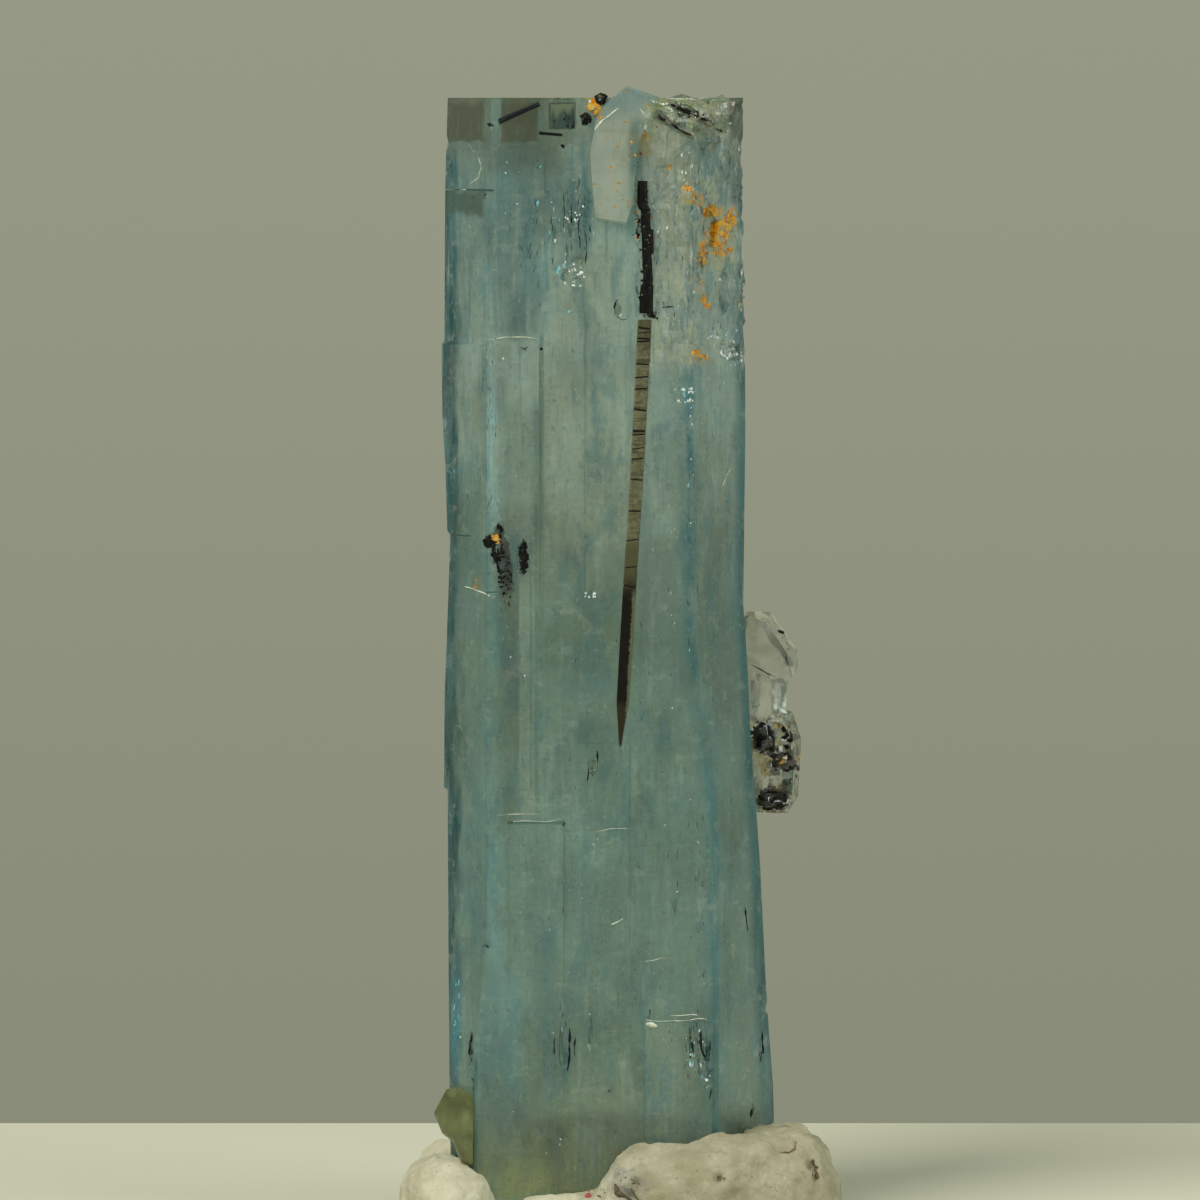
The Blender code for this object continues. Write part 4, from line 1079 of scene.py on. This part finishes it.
scatterPiece(upperNeedle, schorl["paleGrains"], "needleDust", dustLook, "schorl", 12, 0.02, 0.4)
print("schorl ready")


# colourless cluster and olive crystal

def makeClearMaterial():
    # clear, with black and amber inclusions in the lower crystals
    n = Nodes("clearCrystal")
    clouds = n.noise(1.4, 5)
    colour = n.mix(n.ramp(clouds, 0.4, 0.7), tone(240, 241, 234), tone(206, 208, 196))
    lower = n.ramp(n.up, 25.6, 24.9, 0, 0.9)
    dark = n.ramp(n.noise(1.15, 3, shift=(2.2, 1, 5.1)), 0.53, 0.6)
    colour = n.mix(n.times(lower, dark), colour, tone(34, 34, 28))
    amber = n.ramp(n.noise(1.3, 3, shift=(7, 3, 8.4)), 0.57, 0.64)
    colour = n.mix(n.times(lower, amber), colour, tone(200, 164, 80))
    n.set(colour=colour, roughness=n.ramp(clouds, 0.4, 0.7, 0.03, 0.14), transmission=0.95, ior=1.55)
    n.set(normal=n.bump(clouds, 0.12, 0.5))
    return n.material


def makeOliveMaterial():
    n = Nodes("oliveCrystal")
    clouds = n.noise(1, 6, (1.3, 1.3, 0.7))
    colour = n.mix(n.ramp(clouds, 0.38, 0.62), tone(150, 158, 104), tone(116, 126, 76))
    colour = n.mix(n.ramp(n.noise(4, 5), 0.6, 0.7, 0, 0.6), colour, tone(84, 88, 52))
    n.set(colour=colour, roughness=0.22, transmission=0.75, ior=1.58, normal=n.bump(clouds, 0.12, 0.6))
    n.absorb((0.6, 0.66, 0.3, 1), 120)
    return n.material


blotches = {
    "clusterBlack": [
        (6.85, 24.5, 0.4, 0.65, 22, 70, 220), (8.35, 24.55, 0.25, 0.45, 14, 60, 180, 1.2),
        (7.65, 23.65, 0.25, 0.3, 12, 50, 170), (8.35, 23.65, 0.2, 0.3, 10, 50, 160),
        (8.9, 22.5, 0.15, 0.45, 12, 50, 160, 1.3), (7.4, 21.45, 0.55, 0.35, 22, 60, 200, 0.8),
        (8.3, 20.85, 0.6, 0.22, 18, 50, 160, 0.8), (8.35, 29.4, 0.55, 0.12, 10, 40, 100, 0.6),
        (8, 22.3, 0.8, 0.8, 14, 30, 90), (8.4, 28.9, 0.25, 0.3, 10, 40, 100),
    ],
    "clusterAmber": [
        (8, 23.25, 0.35, 0.16, 14, 50, 150, 0.8), (8.9, 23.35, 0.18, 0.25, 10, 50, 140),
        (8.05, 24.95, 0.4, 0.12, 8, 40, 120, 0.7), (7.9, 21.75, 0.25, 0.2, 7, 40, 120),
        (8.4, 21.2, 0.25, 0.14, 6, 40, 110, 0.8),
    ],
    "clusterWhite": [
        (7.95, 24, 0.4, 0.35, 14, 50, 170), (8, 26.15, 0.32, 0.6, 12, 80, 200, 1.6),
        (6.8, 26, 0.25, 0.2, 5, 50, 120, 0.8), (7.2, 30.3, 0.4, 0.15, 5, 40, 100, 0.7),
    ],
    # painted shade: dark outlines along the clear crystals' edges, points across and up, radius
    "edges": [
        ([(7.95, 29.65), (8.35, 29.5), (8.6, 29.1)], 120), ([(6.6, 28), (7.3, 27.6), (7.9, 27.35)], 35),
        ([(8.3, 28.5), (8.4, 27.8)], 60),
    ],
}
cluster = copyOfNode("clear_crystal_cluster", "clearCluster")
for nodeName in ("schorl_cluster_upper", "schorl_cluster_middle", "schorl_cluster_lower"):
    fillPocket(cluster, nodeName, pockets["growCluster"])
finishPiece(cluster, makeClearMaterial(), "clear_crystal", "clear_crystal_cluster")
amberLook = makePaleMaterial("amberGrain", (206, 170, 84), (150, 112, 44), (0.3, 0.5))
for name, look, slotName in (
    ("clusterBlack", schorlLook, "schorl"), ("clusterAmber", amberLook, "clear_crystal"),
    ("clusterWhite", glintLook, "clear_crystal"),
):
    scatterPiece(cluster, blotches[name], name, look, slotName, 21, 0.15, 0.45)
# painted shade along the cluster's edges, in the black schorl look
threadPiece(threadsOn(cluster, blotches["edges"]), "clusterEdgeShade", schorlLook, "schorl")
olive = copyOfNode("olive_crystal", "oliveCrystal")
fatten(olive, 0.2 * mm)
finishPiece(olive, makeOliveMaterial(), "olive_crystal", "olive_crystal")
print("cluster and olive crystal ready")


# mounting putty

puttyShape = {
    "voxel": 0.16 * mm,
    "smoothing": 14,
    "clean": tone(190, 187, 163),
    "grimeAndShade": tone(146, 141, 114),
    "pale": tone(206, 202, 178),
    "soil": tone(116, 106, 82),
    "grey": tone(118, 120, 112),
    # the socket's walls: left, right, half depth, lowest; and how far they close in
    "socket": (-9.25, 8.2, 4.75, 0.5),
    "closeIn": (0.962, 0.93, 1),
    # lumps: name, size, strength
    "lumps": [("puttyWaves", 3.2, 0.9), ("puttyLumps", 1.1, 0.32), ("puttyCreases", 0.5, 0.2)],
    # dents: across, up, radius, depth
    "dents": [
        (9.55, 3.4, 0.55, 0.5), (9.75, 2.8, 0.4, 0.35), (4.8, 3.1, 0.4, 0.35), (0.15, 2.2, 0.6, 0.6),
        (0.6, 2.7, 0.45, 0.35), (-0.4, 2.4, 0.35, 0.3), (6.9, 3.6, 0.9, 0.25), (2.6, 3.3, 1, 0.2),
        (7.9, 4.3, 0.8, 0.22), (-9.4, 2.6, 0.8, 0.25), (-10.3, 3.3, 0.5, 0.2), (3.4, 2.2, 0.9, 0.25),
        (-7.3, 3, 0.9, 0.45), (-6.6, 2.4, 0.8, 0.35), (-0.9, 2.9, 0.7, 0.4), (5.6, 2.4, 0.5, 0.2),
    ],
    "specks": [
        (4, 3, 4.5, 1.6, 26, 12, 45), (9.6, 3.1, 0.16, 0.6, 14, 30, 90, 2.2),
        (0.3, 2.6, 0.5, 0.6, 12, 20, 60, 1.2), (-9.6, 3, 1.6, 0.8, 10, 12, 40),
        (4.83, 3.1, 0.2, 0.12, 8, 30, 80, 0.8), (-1.1, 2.2, 0.25, 0.1, 6, 30, 80),
        (4.1, 4.1, 0.5, 0.2, 3, 20, 50),
    ],
    # dark smears: points across and up, radius
    "smears": [
        ([(-0.4, 2.65), (-0.25, 2.25), (0.15, 2.05), (0.5, 1.75)], 130),
        ([(0.35, 2.45), (0.6, 2.2), (0.95, 1.8)], 100), ([(-0.3, 2.2), (0, 1.9)], 120),
        ([(9.45, 3.6), (9.6, 3.1), (9.8, 2.6)], 110), ([(-1.3, 1.95), (-0.95, 1.9)], 70),
    ],
    "reds": [(-1.75, 1.95, 0.14, 0.12, 14, 60, 160), (0.9, 2.9, 0.3, 0.3, 3, 20, 50)],
}


def makePuttyMaterial():
    n = Nodes("mountingPutty")
    soil = n.noise(0.6, 6, shift=(3, 1, 2))
    fine = n.noise(3.5, 6, roughness=0.65)
    # dirt and painted shade, both heavier towards the right
    grimedAndShaded = n.times(n.ramp(soil, 0.36, 0.62), n.ramp(n.across, -5, -1, 0.45, 1))
    colour = n.mix(grimedAndShaded, puttyShape["clean"], puttyShape["grimeAndShade"])
    colour = n.mix(n.ramp(fine, 0.52, 0.72, 0, 0.5), colour, puttyShape["pale"])
    # painted shade: the right side duller still
    right = n.times(n.ramp(n.across, -2, 2, 0, 0.7), n.ramp(fine, 0.25, 0.5))
    colour = n.mix(right, colour, puttyShape["grimeAndShade"])
    smear = ((n.across, -0.8, 1), (n.across, 1.2, -1), (n.up, 1.6, 1), (n.up, 3.4, -1))
    smear = n.inside(smear, 0.4, n.times(n.minus(fine, 0.5), 2))
    smear = n.times(smear, n.ramp(n.noise(1.4, 5, shift=(1, 1, 7)), 0.4, 0.6, 0.25, 1))
    colour = n.mix(smear, colour, puttyShape["grey"])
    dirty = n.ramp(n.noise(1.6, 5, shift=(5, 9, 1)), 0.6, 0.72)
    dirty = n.times(dirty, n.ramp(n.across, -5, -1, 0.15, 0.45))
    colour = n.mix(dirty, colour, puttyShape["soil"])
    n.set(colour=colour, roughness=n.ramp(fine, 0.4, 0.7, 0.62, 0.85), specular=0.35)
    n.set(normal=n.bump(fine, 0.1, 0.9))
    return n.material


def makePutty():
    piece = copyOfNode("mounting_putty", "mountingPutty")
    # the walls of the socket close in on the crystal's foot
    left, right, halfDepth, lowest = puttyShape["socket"]
    editMode(piece)
    shape = bmesh.from_edit_mesh(piece.data)
    for vert in shape.verts:
        x, y, z = (value / mm for value in vert.co)
        vert.select_set(left < x < right and abs(y) < halfDepth and z > lowest)
    shape.select_flush_mode()
    bmesh.update_edit_mesh(piece.data)
    bpy.ops.transform.resize(value=puttyShape["closeIn"], center_override=(-0.5 * mm, 0, 3 * mm))
    objectMode()
    applyModifier(piece, "REMESH", mode="VOXEL", voxel_size=puttyShape["voxel"], adaptivity=0)
    applyModifier(piece, "SMOOTH", factor=0.8, iterations=puttyShape["smoothing"])
    for name, size, strength in puttyShape["lumps"]:
        texture = bpy.data.textures.new(name, "CLOUDS")
        texture.noise_scale = size * mm
        texture.noise_depth = 2
        applyModifier(piece, "DISPLACE", texture=texture, strength=strength * mm, mid_level=0.5)
    return piece


def dentPutty(piece):
    for across, up, radius, depth in puttyShape["dents"]:
        place, normal = surfaceSpot(piece, across, up)
        if place is None:
            continue
        editMode(piece)
        shape = bmesh.from_edit_mesh(piece.data)
        shape.verts.ensure_lookup_table()
        nearest = min(shape.verts, key=lambda vert: (vert.co - place).length_squared)
        nearest.select_set(True)
        bmesh.update_edit_mesh(piece.data)
        bpy.ops.transform.translate(
            value=-normal * depth * mm, use_proportional_edit=True,
            proportional_edit_falloff="SMOOTH", proportional_size=radius * mm,
        )
        objectMode()


putty = makePutty()
dentPutty(putty)
cutAcross(putty, (0, 0, 0.02 * mm), (0, 0, 1), clear=True)
shadeWithin(putty, 50)
finishPiece(putty, makePuttyMaterial(), "putty", "mounting_putty")
soilLook = makePaleMaterial("puttySoil", (96, 84, 60), (58, 50, 36), (0.7, 0.9))
redLook = makePaleMaterial("redSpeck", (172, 84, 76), (140, 60, 54), (0.6, 0.8))
fibreLook = makePaleMaterial("fibre", (128, 104, 60), (96, 80, 48), (0.6, 0.8))
scatterPiece(putty, puttyShape["specks"], "puttySpecks", soilLook, "putty", 4)
threadPiece(threadsOn(putty, puttyShape["smears"]), "puttySmears", soilLook, "putty")
scatterPiece(putty, puttyShape["reds"], "redSpecks", redLook, "putty", 6)
fibres = [
    (crystal, [(-0.44, 3.87), (0.3, 4.05), (1.17, 4.38)], 30, 0.1, 0.3),
    (putty, [(7.85, 4.95), (8.2, 5), (8.5, 4.95)], 25, 0.05, 0.3),
    (putty, [(7.8, 4.05), (8.3, 3.98), (8.6, 4.15), (8.65, 4.6)], 28, 0.04, 0.3),
]
threadPiece(fibres, "strayFibres", fibreLook, "putty")
print("putty ready")


# floor, surroundings, light and camera

stage = {
    "floorBack": 33 * mm,
    "floorFront": -160 * mm,
    "floorHalfWidth": 300 * mm,
    "floorThickness": 10 * mm,
    "backdropLow": tone(137, 140, 120),
    "backdropHigh": tone(150, 153, 133),
    # how far down and up the backdrop's tones meet
    "blendFrom": -0.16,
    "blendTo": 0.03,
    "floorColour": tone(200, 200, 181),
    "lampSide": 0.2,
    "lampTarget": (0, 0, 0.03),
    # lamps: name, place, power, colour
    "lamps": [
        ("keyLight", (-0.22, -0.2, 0.34), 1.8, (1, 0.98, 0.94)),
        ("fillLight", (0.3, -0.12, 0.16), 0.6, (0.95, 0.98, 1)),
    ],
}
view = {
    "distance": 360 * mm,
    "height": 56.8 * mm,
    "across": -1.175 * mm,
    "aim": 31.75 * mm,
    "frameWidth": 60 * mm,
    "sensor": 36,
}


def makeFloor():
    depth = stage["floorBack"] - stage["floorFront"]
    middle = (stage["floorBack"] + stage["floorFront"]) / 2
    deselectAll()
    bpy.ops.mesh.primitive_cube_add(size=1, location=(0, middle, -stage["floorThickness"] / 2))
    floor = bpy.context.object
    floor.name = "floor"
    floor.scale = (2 * stage["floorHalfWidth"], depth, stage["floorThickness"])
    applyPlace(floor)
    n = Nodes("floorPaint")
    n.set(colour=stage["floorColour"], roughness=0.6)
    floor.data.materials.append(n.material)


def makeSurroundings():
    world = bpy.data.worlds.new("surroundings")
    world.use_nodes = True
    bpy.context.scene.world = world
    tree = world.node_tree
    place = tree.nodes.new("ShaderNodeTexCoord")
    split = tree.nodes.new("ShaderNodeSeparateXYZ")
    tree.links.new(place.outputs["Generated"], split.inputs[0])
    ramp = tree.nodes.new("ShaderNodeMapRange")
    ramp.interpolation_type = "SMOOTHSTEP"
    ramp.inputs["From Min"].default_value = stage["blendFrom"]
    ramp.inputs["From Max"].default_value = stage["blendTo"]
    tree.links.new(split.outputs["Z"], ramp.inputs["Value"])
    blend = tree.nodes.new("ShaderNodeMix")
    blend.data_type = "RGBA"
    tree.links.new(ramp.outputs["Result"], blend.inputs["Factor"])
    blend.inputs[6].default_value = stage["backdropLow"]
    blend.inputs[7].default_value = stage["backdropHigh"]
    tree.links.new(blend.outputs[2], tree.nodes["Background"].inputs["Color"])
    tree.nodes["Background"].inputs["Strength"].default_value = 1.0


def makeLamp(name, place, power, colour):
    data = bpy.data.lights.new(name, "AREA")
    data.shape = "SQUARE"
    data.size = stage["lampSide"]
    data.energy = power
    data.color = colour
    lamp = bpy.data.objects.new(name, data)
    bpy.context.scene.collection.objects.link(lamp)
    lamp.location = place
    lamp.rotation_euler = (Vector(stage["lampTarget"]) - Vector(place)).to_track_quat("-Z", "Y").to_euler()


def makeCamera():
    data = bpy.data.cameras.new("camera")
    camera = bpy.data.objects.new("camera", data)
    bpy.context.scene.collection.objects.link(camera)
    camera.location = (view["across"], -view["distance"], view["height"])
    reach = view["distance"] + frontFace
    tilt = math.atan((view["height"] - view["aim"]) / reach)
    camera.rotation_euler = (math.radians(90) - tilt, 0, 0)
    data.sensor_width = view["sensor"]
    data.lens = view["sensor"] * (reach / math.cos(tilt)) / view["frameWidth"]
    data.clip_start = 0.01
    data.clip_end = 10
    bpy.context.scene.camera = camera


makeFloor()
makeSurroundings()
for lampParts in stage["lamps"]:
    makeLamp(*lampParts)
makeCamera()
bpy.context.scene.view_settings.view_transform = "Standard"
print("stage ready")
